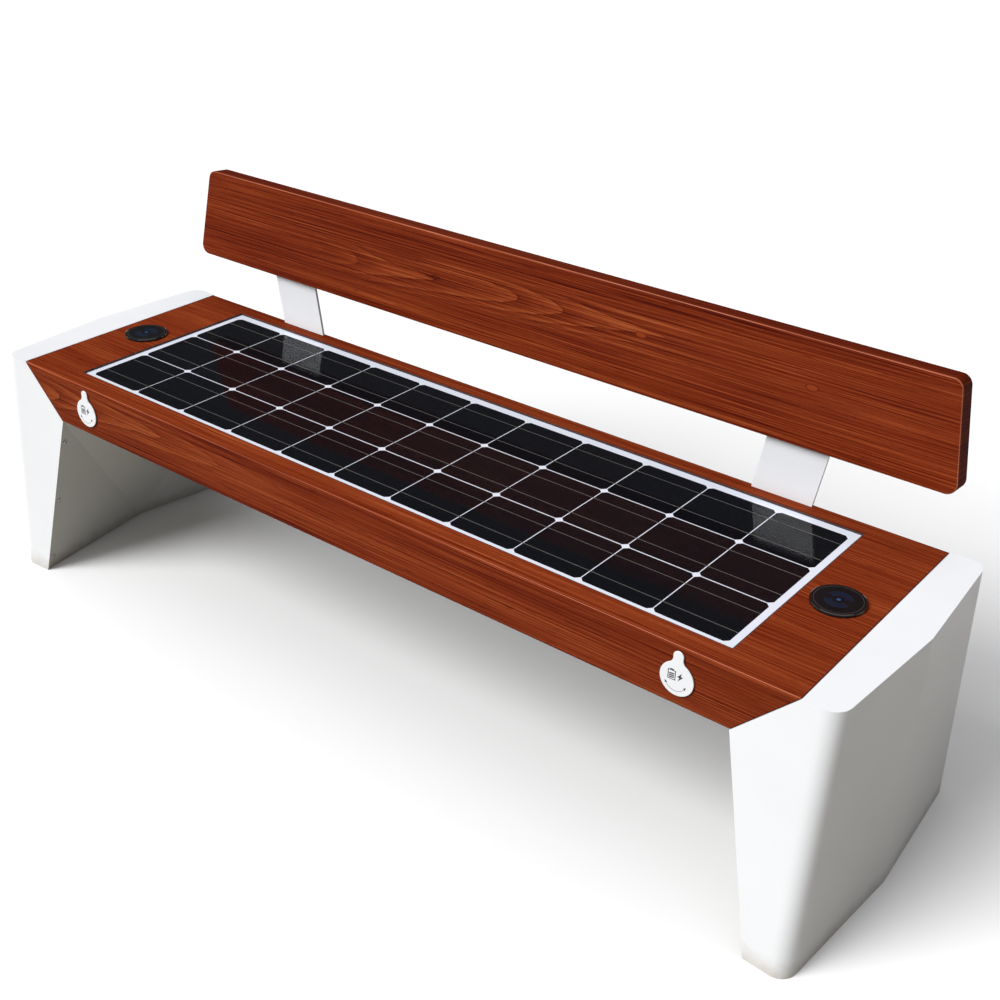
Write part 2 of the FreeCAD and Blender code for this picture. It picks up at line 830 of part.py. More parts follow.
def charger_coils():
    low = seat_height - charger_barrel_depth + charger_floor
    coil = Part.makeCylinder(coil_outer_radius, coil_height, V(charger_x, 0, low))
    return both_ends([coil.cut(Part.makeCylinder(coil_inner_radius, coil_height, V(charger_x, 0, low)))])


# Socket units and their covers

def drop_outline(inset):
    """Round plate with a small lobe above it, joined by hollow arcs; drawn facing -Y."""
    body = drop_radius - inset
    lobe = drop_lobe_radius - inset
    neck = drop_neck_radius + inset
    to_body = drop_radius + drop_neck_radius
    to_lobe = drop_lobe_radius + drop_neck_radius
    neck_z = (to_body ** 2 - to_lobe ** 2 + pivot_lift ** 2) / (2.0 * pivot_lift)
    neck_x = math.sqrt(to_body ** 2 - neck_z ** 2)
    centre = V(neck_x, 0, neck_z)
    on_body = centre * (body / to_body)
    top = V(0, 0, pivot_lift)
    on_lobe = top + (centre - top) * (lobe / to_lobe)
    toward = ((top - centre).normalize() - V(centre).normalize()).normalize()
    on_neck = centre + toward * neck
    side = Part.Arc(on_body, on_neck, on_lobe).toShape()
    edges = [Part.Arc(other_end(on_body), V(0, 0, -body), on_body).toShape(), side,
             Part.Arc(on_lobe, V(0, 0, pivot_lift + lobe), other_end(on_lobe)).toShape(),
             Part.Arc(other_end(on_lobe), other_end(on_neck), other_end(on_body)).toShape()]
    return Part.Face(Part.Wire(edges))


def drop_plate(inset, front, back):
    """The drop outline as a plate between two depths measured out from the seat front."""
    plate = drop_outline(inset).extrude(V(0, front - back, 0))
    return plate.translated(V(socket_x, -seat_half_depth - front, socket_z))


def socket_hole(radius, out, depth, height):
    """A round bar through the seat front, from outside it to a depth behind it."""
    start = V(socket_x, -seat_half_depth - out, height)
    return cylinder(radius, start, V(socket_x, -seat_half_depth + depth, height))


def usb_gasket():
    plate = drop_plate(gasket_inset, gasket_sheet, 0.0)
    barrel = socket_hole(socket_barrel_radius + socket_barrel_slack, 2.0 * gasket_sheet, overshoot, socket_z)
    pivot = socket_hole(stud_radius + stud_free_gap, 2.0 * gasket_sheet, overshoot, pivot_z)
    return cut_all(plate, [barrel, pivot])


def usb_body():
    """Flange on the seat front, barrel through the apron and two sockets in its face."""
    face = gasket_sheet + flange_sheet
    flange = drop_plate(flange_inset, face, gasket_sheet)
    barrel = socket_hole(socket_barrel_radius, gasket_sheet, socket_depth, socket_z)
    ports = []
    for side in (-0.5, 0.5):
        z = socket_z + side * port_spacing
        ports.append(box((socket_x - port_width / 2.0, socket_x + port_width / 2.0),
                         (-seat_half_depth - face - overshoot, -seat_half_depth - face + port_depth),
                         (z - port_height / 2.0, z + port_height / 2.0)))
    pivot = socket_hole(stud_radius + stud_free_gap, 2.0 * face, overshoot, pivot_z)
    return cut_all(flange.fuse(barrel).removeSplitter(), ports + [pivot])


def usb_locknut():
    inside = cover_sheet + locknut_height
    start = V(socket_x, -seat_half_depth + cover_sheet, socket_z)
    blank = aim(hexagon(locknut_flats, locknut_height), start, V(0, 1, 0))
    return blank.cut(socket_hole(socket_barrel_radius + thread_slack, 0.0, 2.0 * inside, socket_z))


def pivot_bush():
    """Collared bush pressed into the apron; the cover's stud turns in it."""
    barrel = socket_hole(bush_radius, 0.0, bush_length, pivot_z)
    collar = socket_hole(bush_collar_radius, -cover_sheet, cover_sheet + bush_collar, pivot_z)
    bore = socket_hole(stud_radius + stud_running_gap, overshoot, bush_length + overshoot, pivot_z)
    return barrel.fuse(collar).removeSplitter().cut(bore)


def port_cover():
    """Drop-shaped plate with a bevelled front edge and the stud that it swings on."""
    back = gasket_sheet + flange_sheet + cover_gap
    front = back + cover_plate
    plate = drop_plate(0.0, front, back)
    rim = [edge for edge in plate.Edges if edge.BoundBox.YMax < -seat_half_depth - front + 0.01]
    plate = plate.makeChamfer(cover_edge, rim)
    stud = socket_hole(stud_radius, back, bush_length + pivot_nut_gap + pivot_nut_height, pivot_z)
    return plate.fuse(stud).removeSplitter()


def pivot_nut():
    shape = nut(stud_radius, pivot_nut_flats, pivot_nut_height)
    return aim(shape, V(socket_x, -seat_half_depth + bush_length + pivot_nut_gap, pivot_z), V(0, 1, 0))


# Backrest

def on_back(shape):
    """Move a piece drawn square to its place on the leaning backrest."""
    placed = shape.copy()
    move = FreeCAD.Placement(back_base, FreeCAD.Rotation(V(1, 0, 0), -back_lean))
    placed.Placement = move.multiply(shape.Placement)
    return placed


def board(inset, front, back):
    """The board's tapered outline with rounded corners, between two depths from its front."""
    side = math.atan(back_taper / back_height)
    slip = inset / math.cos(side)
    points = []
    for z in (inset, back_height - inset):
        half = seam_half_length - back_taper * z / back_height - slip
        points.append([V(-half, front, z), V(half, front, z)])
    points = points[0] + points[1][::-1]
    block = Part.Face(Part.makePolygon(points + [points[0]])).extrude(V(0, back - front, 0))
    return block.makeFillet(back_corner - min(inset, back_corner / 2.0), long_edges(block, V(0, 1, 0)))


def backrest_shell():
    """Folded tray: front face, four edges and the lips that carry the rear cover."""
    outer = board(0.0, 0.0, back_thickness)
    rim = [edge for edge in outer.Edges if edge.BoundBox.YMax < 0.01]
    outer = outer.makeFillet(back_edge, rim)
    lip_rear = back_thickness - back_cover_sheet
    lip_front = lip_rear - back_sheet
    hollow = board(back_sheet, back_sheet, lip_front)
    mouth = board(back_sheet + back_lip, lip_front - overshoot, lip_rear + overshoot)
    rebate = board(back_sheet, lip_rear, back_thickness + overshoot)
    return cut_all(outer, [hollow, mouth, rebate] + both_ends([back_slot()]) + back_screw_holes())


def bracket_edge(z):
    """The inner edge of the bracket at a height in the bench's own frame."""
    return seam_half_length - bracket_from_seam + slant * (z - seat_height)


def back_slot():
    """Slot for the bracket in the bottom edge of the backrest."""
    start = bracket_edge(back_base.z) - 2.0 * bracket_slot_gap
    end = start + bracket_width + 4.0 * bracket_slot_gap
    rear = bracket_depth_in_back + bracket_sheet
    depth = (bracket_depth_in_back - bracket_slot_gap, rear + bracket_slot_gap)
    return box((start, end), depth, (-back_sheet, 2.0 * back_sheet))


def back_rail_heights():
    return (back_rail_low, back_rail_high)


def backrest_rails():
    """Two flat tubes welded behind the front face, which the brackets are bolted to."""
    rails = []
    half = seam_half_length - back_taper - back_rail_end
    for low in back_rail_heights():
        depth = (back_sheet, bracket_depth_in_back)
        rail = box((-half, half), depth, (low, low + back_rail_width))
        bore = box((-half - overshoot, half + overshoot),
                   (depth[0] + back_rail_wall, depth[1] - back_rail_wall),
                   (low + back_rail_wall, low + back_rail_width - back_rail_wall))
        rails.append(cut_all(rail, [bore] + both_ends(bracket_back_holes())))
    return rails


def backrest_rear_cover():
    plate = board(back_sheet + back_cover_gap, back_thickness - back_cover_sheet, back_thickness)
    return cut_all(plate, back_screw_holes())


def back_screw_places():
    edge = back_sheet + back_screw_edge
    half = seam_half_length - back_taper - back_screw_end
    pitch = 2.0 * half / (back_screw_columns - 1)
    return [V(-half + k * pitch, back_thickness, z) for z in (edge, back_height - edge)
            for k in range(back_screw_columns)]


def back_screw_holes():
    reach = V(0, back_screw_length, 0)
    radius = back_screw_radius + hole_clearance
    return [small_hole(radius, p - reach, p + reach) for p in back_screw_places()]


def rear_cover_screws():
    one = screw(back_screw_radius, back_screw_length, back_screw_head_radius, back_screw_head_height)
    return [on_back(aim(one, p, V(0, 1, 0))) for p in back_screw_places()]


# Brackets

def backrest_bracket():
    """Slanted plate with one bend: upright in the seat, leaning inside the backrest."""
    foot = rail_z[0]
    bend = back_base.z
    lean_out = V(0, math.sin(lean), math.cos(lean))
    across = V(0, math.cos(lean), -math.sin(lean))
    front = [V(0, bracket_y, foot), V(0, bracket_y, bend), V(0, bracket_y, bend) + lean_out * bracket_reach]
    inner_bend = V(0, bracket_y + bracket_sheet, bend - bracket_sheet * math.tan(lean / 2.0))
    back = [V(0, bracket_y + bracket_sheet, foot), inner_bend, front[2] + across * bracket_sheet]
    loop = front + back[::-1] + [front[0]]
    strip = Part.Face(Part.makePolygon(loop)).extrude(V(seam_half_length, 0, 0))
    top = front[2].z + bracket_sheet
    outline = [V(bracket_edge(foot), 0, foot), V(bracket_edge(top), 0, top),
               V(bracket_edge(top) + bracket_width, 0, top), V(bracket_edge(foot) + bracket_width, 0, foot)]
    slab = Part.Face(Part.makePolygon(outline + [outline[0]])).extrude(V(0, 2.0 * seat_half_depth, 0))
    back_holes = [on_back(hole) for hole in bracket_back_holes()]
    return cut_all(strip.common(slab), bracket_seat_holes() + back_holes)


def bracket_seat_places():
    """Bolt points on the front face of the rear rail."""
    middle = (rail_z[0] + rail_z[1]) / 2.0
    places = []
    for side in (-bracket_bolt_half_z, bracket_bolt_half_z):
        z = middle + side
        centre = bracket_edge(z) + bracket_width / 2.0
        places += [V(centre + dx, rail_rear_y[0], z) for dx in (-bracket_bolt_half_x, bracket_bolt_half_x)]
    return places


def bracket_seat_holes():
    reach = V(0, 2.0 * rail_width, 0)
    radius = bracket_bolt_radius + hole_clearance
    return [small_hole(radius, p - V(0, overshoot, 0), p + reach) for p in bracket_seat_places()]


def bracket_seat_bolts():
    """Bolts through the rear rail into tapped holes in the bracket."""
    length = rail_width + bracket_sheet + bolt_end
    bolt = hex_bolt(bracket_bolt_radius, length, bracket_bolt_flats, bracket_bolt_head)
    return both_ends([aim(bolt, p, V(0, -1, 0)) for p in bracket_seat_places()])


def bracket_back_places():
    """Bolt points on the rear face of the bracket, in the backrest's own frame."""
    places = []
    for low in back_rail_heights():
        z = low + back_rail_width / 2.0
        height = back_base.z + z * math.cos(lean)
        centre = bracket_edge(height) + bracket_width / 2.0
        depth = bracket_depth_in_back + bracket_sheet
        places += [V(centre + dx, depth, z) for dx in (-bracket_bolt_half_x, bracket_bolt_half_x)]
    return places


def bracket_back_holes():
    reach = V(0, bracket_depth_in_back + bracket_sheet - back_sheet, 0)
    radius = bracket_bolt_radius + hole_clearance
    return [small_hole(radius, p - reach, p + V(0, overshoot, 0)) for p in bracket_back_places()]


def bracket_back_bolts():
    length = bracket_depth_in_back + bracket_sheet - back_sheet - back_rail_wall
    bolt = hex_bolt(bracket_bolt_radius, length, bracket_bolt_flats, bracket_bolt_head)
    places = bracket_back_places()
    return [on_back(aim(bolt, p, V(0, 1, 0))) for p in places + [other_end(p) for p in places]]


# Battery, controller, converter and leads

def standing_box(size, place):
    """A block that stands on the underside panel."""
    length, depth, height = size
    return box((place[0] - length / 2.0, place[0] + length / 2.0),
               (place[1] - depth / 2.0, place[1] + depth / 2.0), (beam_bottom, beam_bottom + height))


def battery_case():
    block = standing_box(battery_size, (0.0, battery_y))
    return block.makeFillet(battery_edge, long_edges(block, V(0, 0, 1)) + long_edges(block, V(1, 0, 0))[2:])


def battery_straps():
    """Two flat straps over the battery, with feet on the underside panel."""
    length, depth, height = battery_size
    high = beam_bottom + height
    straps = []
    for place in (-strap_place, strap_place):
        span = (place - strap_width / 2.0, place + strap_width / 2.0)
        low_y = battery_y - depth / 2.0
        high_y = battery_y + depth / 2.0
        band = box(span, (low_y - strap_sheet, high_y + strap_sheet), (beam_bottom, high + strap_sheet))
        inside = box((span[0] - overshoot, span[1] + overshoot), (low_y, high_y),
                     (beam_bottom - overshoot, high))
        foot_z = (beam_bottom, beam_bottom + strap_sheet)
        feet = [box(span, (low_y - strap_foot, low_y - strap_sheet), foot_z),
                box(span, (high_y + strap_sheet, high_y + strap_foot), foot_z)]
        straps.append(fuse_all([band.cut(inside)] + feet))
    return straps


def charge_controller():
    """Cast case with cooling fins along its top."""
    length, depth, height = controller_size
    case = standing_box(controller_size, controller_place)
    pitch = depth / controller_fins
    floor = beam_bottom + height - controller_fin_height
    grooves = []
    for k in range(controller_fins - 1):
        y = controller_place[1] - depth / 2.0 + k * pitch + controller_fin_width
        grooves.append(box((controller_place[0] - length, controller_place[0] + length),
                           (y, y + pitch - controller_fin_width), (floor, floor + height)))
    return cut_all(case, grooves)


def power_converter():
    block = standing_box(converter_size, converter_place)
    return block.makeFillet(converter_corner, long_edges(block, V(0, 0, 1)))


def lead(points):
    """A six-sided lead along straight runs joined by tangent arcs, as large as its runs allow."""
    edges = []
    start = points[0]
    for before, corner, after in zip(points, points[1:], points[2:]):
        come = (before - corner).normalize()
        leave = (after - corner).normalize()
        half_turn = (math.pi - come.getAngle(leave)) / 2.0
        shorter = min((before - corner).Length, (after - corner).Length)
        back = lead_bend_share * shorter
        radius = back / math.tan(half_turn)
        middle = (come + leave).normalize()
        inner = corner + middle * (radius / math.cos(half_turn) - radius)
        edges.append(Part.LineSegment(start, corner + come * back).toShape())
        edges.append(Part.Arc(corner + come * back, inner, corner + leave * back).toShape())
        start = corner + leave * back
    edges.append(Part.LineSegment(start, points[-1]).toShape())
    path = Part.Wire(edges)
    ring = aim(polygon(lead_sides, lead_radius), points[0], points[1] - points[0])
    return path.makePipeShell([ring], True, False)


def socket_route(side, face, y, z):
    """From the end face of a unit to the barrel of the sockets on its side of the bench."""
    barrel_end = -seat_half_depth + socket_depth
    high = z + lead_socket_rise
    return [V(face, y, z), V(side * (socket_x - lead_socket_turn), y, z),
            V(side * socket_x, barrel_end + lead_socket_run, high), V(side * socket_x, barrel_end, high)]


def charger_route(side, face, y, z):
    """From the end face of a unit up to the underside of the charger on its side of the bench."""
    low = seat_height - charger_barrel_depth
    far, near = lead_charger_turn
    return [V(face, y, z), V(side * (charger_x - far), y, z),
            V(side * (charger_x - near), lead_charger_side, z + lead_charger_rise),
            V(side * charger_x, 0, low - lead_charger_drop), V(side * charger_x, 0, low)]


def lead_routes():
    """Each route runs from the face of one unit to the face of another."""
    z = beam_bottom + lead_height
    control_x, control_y = controller_place
    power_x, power_y = converter_place
    from_box = [V(-lead_box_exit, junction_box_y, laminate_bottom - junction_box_size[2]),
                V(-lead_box_exit, junction_box_y, z), V(control_x, junction_box_y, z),
                V(control_x, control_y + controller_size[1] / 2.0, z)]
    from_battery = [V(-battery_size[0] / 2.0, battery_y, z),
                    V(control_x + controller_size[0] / 2.0, battery_y, z)]
    to_converter = [V(control_x, control_y - controller_size[1] / 2.0, z), V(control_x, aisle_y, z),
                    V(power_x, aisle_y, z), V(power_x, power_y - converter_size[1] / 2.0, z)]
    routes = [from_box, from_battery, to_converter]
    for side, face, y in ((1.0, power_x + converter_size[0] / 2.0, power_y),
                          (-1.0, control_x - controller_size[0] / 2.0, control_y)):
        routes.append(socket_route(side, face, y - lead_socket_step, z))
        routes.append(charger_route(side, face, y + lead_charger_step, z))
    return routes


def lead_clip(x, y):
    """A saddle on the underside panel with a hole for a lead that runs along the bench."""
    z = beam_bottom + lead_height
    half = clip_length / 2.0
    wide = lead_radius + clip_wall
    block = box((x - half, x + half), (y - wide, y + wide), (beam_bottom, z + wide))
    return block.cut(small_hole(lead_radius + thread_slack, V(x - half, y, z), V(x + half, y, z)))


def lead_clips():
    power_x, power_y = converter_place
    control_x, control_y = controller_place
    places = [(k * clip_spacing, aisle_y) for k in (-1.0, 0.0, 1.0)] + [(-clip_spacing, junction_box_y)]
    for x, y in ((power_x + clip_from_unit, power_y), (control_x - clip_from_unit, control_y)):
        places += [(x, y - lead_socket_step), (x, y + lead_charger_step)]
    return [lead_clip(x, y) for x, y in places]


def end_pair(name, shape):
    """The same piece at both ends of the bench, mirrored."""
    return {name + "_right": shape, name + "_left": mirror_x(shape)}


pieces = {}
pieces.update(end_pair("leg_shell", leg_shell()))
pieces.update(end_pair("leg_inner_panel", leg_inner_panel()))
pieces.update(end_pair("base_plate", base_plate()))
pieces.update(end_pair("leg_frame", leg_frame()))
pieces.update(end_pair("seat_end_plate", seat_end_plate()))
pieces.update(end_pair("charger_housing", charger_housing()))
pieces.update(end_pair("charger_disc", charger_disc()))
pieces.update(end_pair("charger_nut", charger_nut()))
pieces.update(end_pair("usb_gasket", usb_gasket()))
pieces.update(end_pair("usb_body", usb_body()))
pieces.update(end_pair("usb_locknut", usb_locknut()))
pieces.update(end_pair("pivot_bush", pivot_bush()))
pieces.update(end_pair("port_cover", port_cover()))
pieces.update(end_pair("pivot_nut", pivot_nut()))
pieces.update(end_pair("backrest_bracket", backrest_bracket()))
pieces["leg_panel_screws"] = leg_panel_screws()
pieces["seat_end_bolts"] = seat_end_bolts()
pieces["seat_cover"] = seat_cover()
pieces["seat_frame"] = seat_frame()
pieces["underside_panel"] = underside_panel()
pieces["underside_screws"] = underside_screws()
pieces["solar_glass"] = laminate_layer(glass_bottom, seat_height)
pieces["solar_cells"] = solar_cells()
pieces["cell_ribbons"] = cell_ribbons()
pieces["solar_backsheet"] = laminate_layer(laminate_bottom, backsheet_top)
pieces["solar_seal"] = solar_seal()
pieces["solar_tray"] = solar_tray()
pieces["junction_box"] = junction_box()
pieces["charger_coils"] = charger_coils()
pieces["backrest_shell"] = on_back(backrest_shell())
pieces["backrest_rails"] = [on_back(rail) for rail in backrest_rails()]
pieces["backrest_rear_cover"] = on_back(backrest_rear_cover())
pieces["rear_cover_screws"] = rear_cover_screws()
pieces["bracket_seat_bolts"] = bracket_seat_bolts()
pieces["bracket_back_bolts"] = bracket_back_bolts()
pieces["battery_case"] = battery_case()
pieces["battery_straps"] = battery_straps()
pieces["charge_controller"] = charge_controller()
pieces["power_converter"] = power_converter()
pieces["internal_leads"] = [lead(route) for route in lead_routes()]
pieces["lead_clips"] = lead_clips()

for name, shape in pieces.items():
    if isinstance(shape, list):
        shape = Part.makeCompound(shape)
    shape.exportStep(os.path.join("parts", name + ".step"))
    print(name, len(shape.Solids), shape.isValid(), round(shape.Volume))
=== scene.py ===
import bmesh
import bpy
import math
import numpy as np
from mathutils import Matrix, Vector


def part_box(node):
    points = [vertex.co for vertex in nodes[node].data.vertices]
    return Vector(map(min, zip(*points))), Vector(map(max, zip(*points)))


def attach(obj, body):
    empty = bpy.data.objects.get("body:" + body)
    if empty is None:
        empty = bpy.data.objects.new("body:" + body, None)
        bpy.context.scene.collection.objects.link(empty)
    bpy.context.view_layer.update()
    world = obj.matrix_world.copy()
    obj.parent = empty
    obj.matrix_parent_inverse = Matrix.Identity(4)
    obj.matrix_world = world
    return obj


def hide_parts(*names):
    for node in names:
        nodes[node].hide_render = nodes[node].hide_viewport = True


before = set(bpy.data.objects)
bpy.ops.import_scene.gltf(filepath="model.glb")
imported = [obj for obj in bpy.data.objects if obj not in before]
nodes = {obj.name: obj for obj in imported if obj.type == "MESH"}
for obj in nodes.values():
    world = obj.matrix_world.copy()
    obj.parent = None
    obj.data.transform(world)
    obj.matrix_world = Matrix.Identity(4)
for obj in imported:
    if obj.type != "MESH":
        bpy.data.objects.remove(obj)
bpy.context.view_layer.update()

# Camera
# A standing viewer looks down at the bench from its front right, through a normal lens that is
# held almost level. The aim point lies on the plane of the seat top.
camera_azimuth = math.radians(37.98)
camera_elevation = math.radians(29.01)
camera_roll = math.radians(1.13)
camera_distance = 2.26301
camera_aim = Vector((0.21003, -0.07781, 0.454))
camera_lens = 50.36

toward_camera = Vector((math.sin(camera_azimuth) * math.cos(camera_elevation),
                        -math.cos(camera_azimuth) * math.cos(camera_elevation),
                        math.sin(camera_elevation)))
level_right = Vector((0.0, 0.0, 1.0)).cross(toward_camera).normalized()
level_up = toward_camera.cross(level_right)
camera_right = level_right * math.cos(camera_roll) + level_up * math.sin(camera_roll)
camera_up = level_up * math.cos(camera_roll) - level_right * math.sin(camera_roll)
camera_turn = Matrix((camera_right, camera_up, toward_camera)).transposed()
camera = bpy.data.objects.new("camera", bpy.data.cameras.new("camera"))
camera.data.lens = camera_lens
camera.matrix_world = (Matrix.Translation(camera_aim + toward_camera * camera_distance)
                       @ camera_turn.to_4x4())
bpy.context.scene.collection.objects.link(camera)
bpy.context.scene.camera = camera


# Leg shells, inner panels and backrest brackets
# White powder coated steel with a faint orange peel, dusty near the ground. Each leg is folded
# from 3 mm sheet and closed by a bent inner panel, and two slanted plates hold the backrest.
leg_white = (0.875, 0.892, 0.918)
leg_dust = (0.50, 0.44, 0.37)
leg_coat_roughness = 0.36
coat_shade = 0.965
dust_height = 0.035
dust_most = 0.55
specks_per_metre = 420.0
speck_strength = 0.35
peel_size = 0.0022
peel_depth = 0.00005


class Mixture:
    """A node tree being mixed. Most methods add one node and hand back its output."""

    def __init__(self, tree):
        self.tree = tree

    def add(self, kind, inputs=(), out=0, **settings):
        node = self.tree.nodes.new("ShaderNode" + kind)
        for key, value in settings.items():
            setattr(node, key, value)
        for key, value in dict(inputs).items():
            self.feed(node.inputs[key], value)
        return node if out is None else node.outputs[out]

    def feed(self, socket, value):
        if isinstance(value, bpy.types.NodeSocket):
            self.tree.links.new(value, socket)
        elif isinstance(value, tuple) and socket.type == "RGBA":
            socket.default_value = (*value, 1.0)
        else:
            socket.default_value = value

    def math(self, what, a, b=0.0, c=0.0):
        return self.add("Math", {0: a, 1: b, 2: c}, operation=what)

    def point(self, x, y, z):
        return self.add("CombineXYZ", {0: x, 1: y, 2: z})

    def noise(self, where, scale, detail=2.0, roughness=0.5):
        return self.add("TexNoise", {"Vector": where, "Scale": scale, "Detail": detail,
                                     "Roughness": roughness})

    def remap(self, value, low, high, to_low=0.0, to_high=1.0):
        return self.add("MapRange", {0: value, 1: low, 2: high, 3: to_low, 4: to_high})

    def spread(self, noise, to_low=0.0, to_high=1.0):
        """Stretches a noise, most of which lies between 0.3 and 0.7, over a whole range."""
        return self.remap(noise, 0.3, 0.7, to_low, to_high)

    def mix(self, share, one, other):
        return self.add("Mix", {0: share, 6: one, 7: other}, out=2, data_type="RGBA")

    def seen(self):
        """1 on what the eye meets, straight, in a reflection or through glass, and 0 elsewhere."""
        ray = self.add("LightPath", out=None)
        bare = self.math("MAXIMUM", ray.outputs["Is Camera Ray"], ray.outputs["Is Glossy Ray"])
        met = self.math("MAXIMUM", bare, ray.outputs["Is Transmission Ray"])
        return self.math("MULTIPLY", met, self.math("LESS_THAN", ray.outputs["Diffuse Depth"], 0.5))

    def ramp(self, value, *stops):
        node = self.add("ValToRGB", {0: value}, out=None)
        ramp = node.color_ramp
        while len(ramp.elements) < len(stops):
            ramp.elements.new(0.5)
        for element, (place, colour) in zip(ramp.elements, stops):
            element.position = place
            element.color = (*colour, 1.0)
        return node.outputs[0]


class Finish(Mixture):
    """A material, and the place on the piece in metres."""

    def __init__(self, name, **values):
        self.material = bpy.data.materials.new(name)
        self.material.use_nodes = True
        super().__init__(self.material.node_tree)
        self.shader = self.tree.nodes["Principled BSDF"]
        for socket, value in values.items():
            self.shader.inputs[socket.replace("_", " ")].default_value = value
        self.place = self.add("TexCoord", out="Object")
        split = self.add("SeparateXYZ", {0: self.place}, out=None)
        self.x, self.y, self.z = split.outputs

    def scaled(self, x, y, z):
        """The place, stretched along each axis."""
        return self.add("VectorMath", {0: self.place, 1: (x, y, z)}, operation="MULTIPLY")

    def facing(self, way):
        """How far the surface faces a way, from 1 through 0 for square to it to -1."""
        normal = self.add("TexCoord", out="Normal")
        return self.add("VectorMath", {0: normal, 1: way}, out="Value", operation="DOT_PRODUCT")

    def bump(self, height, depth):
        return self.add("Bump", {"Height": height, "Distance": depth, "Strength": 1.0})

    def wear(self, colour=None, roughness=None, normal=None):
        """Joins what varies over the surface to the shader, and gives the material."""
        joined = {"Base Color": colour, "Roughness": roughness, "Normal": normal}
        for socket, value in joined.items():
            if value is not None:
                self.feed(self.shader.inputs[socket], value)
        return self.material


def dress(names, material):
    """Gives a material to CAD pieces, both ends of the bench where a name has ends."""
    for name in names:
        ends = [name] if name in nodes else [name + "_right", name + "_left"]
        for end in ends:
            nodes[end].data.materials.clear()
            nodes[end].data.materials.append(material)


def powder_coat(name, colour):
    """Two close tones in soft clouds, with fine specks and a ragged edge of dust low down."""
    coat = Finish(name, Specular_IOR_Level=0.22, Coat_Weight=0.06, Coat_Roughness=0.22)
    cloud = coat.noise(coat.place, scale=6.0, detail=3.0)
    shade = tuple(coat_shade * part for part in colour)
    tone = coat.mix(coat.spread(cloud), shade, colour)
    edge = coat.math("MULTIPLY", coat.noise(coat.place, scale=38.0, detail=4.0), dust_height)
    low = coat.math("SUBTRACT", coat.z, edge)
    dust = coat.remap(low, 0.35 * dust_height, -0.45 * dust_height, 0.0, dust_most)
    specks = coat.noise(coat.place, specks_per_metre)
    specks = coat.remap(specks, 0.735, 0.77, 0.0, speck_strength)
    tone = coat.mix(coat.math("MAXIMUM", dust, specks), tone, leg_dust)
    peel = coat.noise(coat.place, 1.0 / peel_size, roughness=0.6)
    gloss = coat.spread(coat.noise(coat.place, scale=24.0, detail=3.0),
                        leg_coat_roughness - 0.05, leg_coat_roughness + 0.06)
    return coat.wear(tone, gloss, coat.bump(peel, peel_depth))


white_coat = powder_coat("white_coat", leg_white)
dress(["leg_shell", "leg_inner_panel", "backrest_bracket"], white_coat)


# Frames, rails, end plates and base plates
# Square posts, gussets, rails and thick plates, welded from steel and hot-dip galvanised. They
# carry the load inside legs, seat and backrest, and the base plates take the ground anchors.
zinc_light = (0.56, 0.58, 0.60)
zinc_dark = (0.36, 0.38, 0.40)
spangle_size = 0.011
spangle_share = 0.5


def galvanised(name):
    """Grey zinc in flakes of different brightness, over soft clouds."""
    zinc = Finish(name, Metallic=0.85)
    spangle = zinc.add("TexVoronoi", {"Vector": zinc.place, "Scale": 1.0 / spangle_size}, out="Color")
    grey = zinc.add("SeparateColor", {0: spangle})
    cloud = zinc.noise(zinc.place, scale=9.0, detail=4.0)
    cloud = zinc.math("MULTIPLY", cloud, 1.0 - spangle_share)
    tone = zinc.mix(zinc.math("MULTIPLY_ADD", grey, spangle_share, cloud), zinc_dark, zinc_light)
    gloss = zinc.remap(grey, 0.0, 1.0, 0.36, 0.58)
    grit = zinc.noise(zinc.place, scale=900.0)
    return zinc.wear(tone, gloss, zinc.bump(grit, depth=0.00004))


zinc_coat = galvanised("zinc_coat")
dress(["base_plate", "leg_frame", "seat_end_plate", "seat_frame", "backrest_rails",
       "solar_tray"], zinc_coat)


# Screws of the inner panels, the underside and the rear cover
# Stainless pan head screws with a cross recess, turned in through the sheet into its lips. Each
# stands where the construction has a plain one. The bolts and pivot nuts are the same steel.
steel_light = (0.52, 0.52, 0.51)
steel_dark = (0.27, 0.26, 0.25)
full_turn = 2.0 * math.pi
crease_angle = math.radians(35.0)
head_sides = 40
dome_steps = 7
dome_power = 0.6
shank_sides = 16
# Shares of the head's radius, and of its height for the dome's rise and the recess's depth
dome_rise = 0.65
recess_reach = 0.52
recess_bar = 0.17
recess_depth = 0.55
shank_radius = 0.5
shank_length = 2.4
shank_tip = 0.35


def stainless(name):
    """Bright steel with fine turning marks and duller patches."""
    steel = Finish(name, Metallic=0.95)
    turning = steel.noise(steel.scaled(1.0, 1.0, 6.0), scale=700.0, detail=3.0)
    stain = steel.noise(steel.place, scale=160.0, detail=3.0)
    tone = steel.mix(steel.remap(stain, 0.35, 0.7), steel_light, steel_dark)
    gloss = steel.spread(turning, 0.2, 0.38)
    return steel.wear(tone, gloss, steel.bump(turning, depth=0.00003))


def mesh_piece(name, bm, *materials):
    """Turns a bmesh into a shown object."""
    bmesh.ops.recalc_face_normals(bm, faces=bm.faces)
    mesh = bpy.data.meshes.new(name)
    bm.to_mesh(mesh)
    bm.free()
    for material in materials:
        mesh.materials.append(material)
    piece = bpy.data.objects.new(name, mesh)
    bpy.context.scene.collection.objects.link(piece)
    return piece


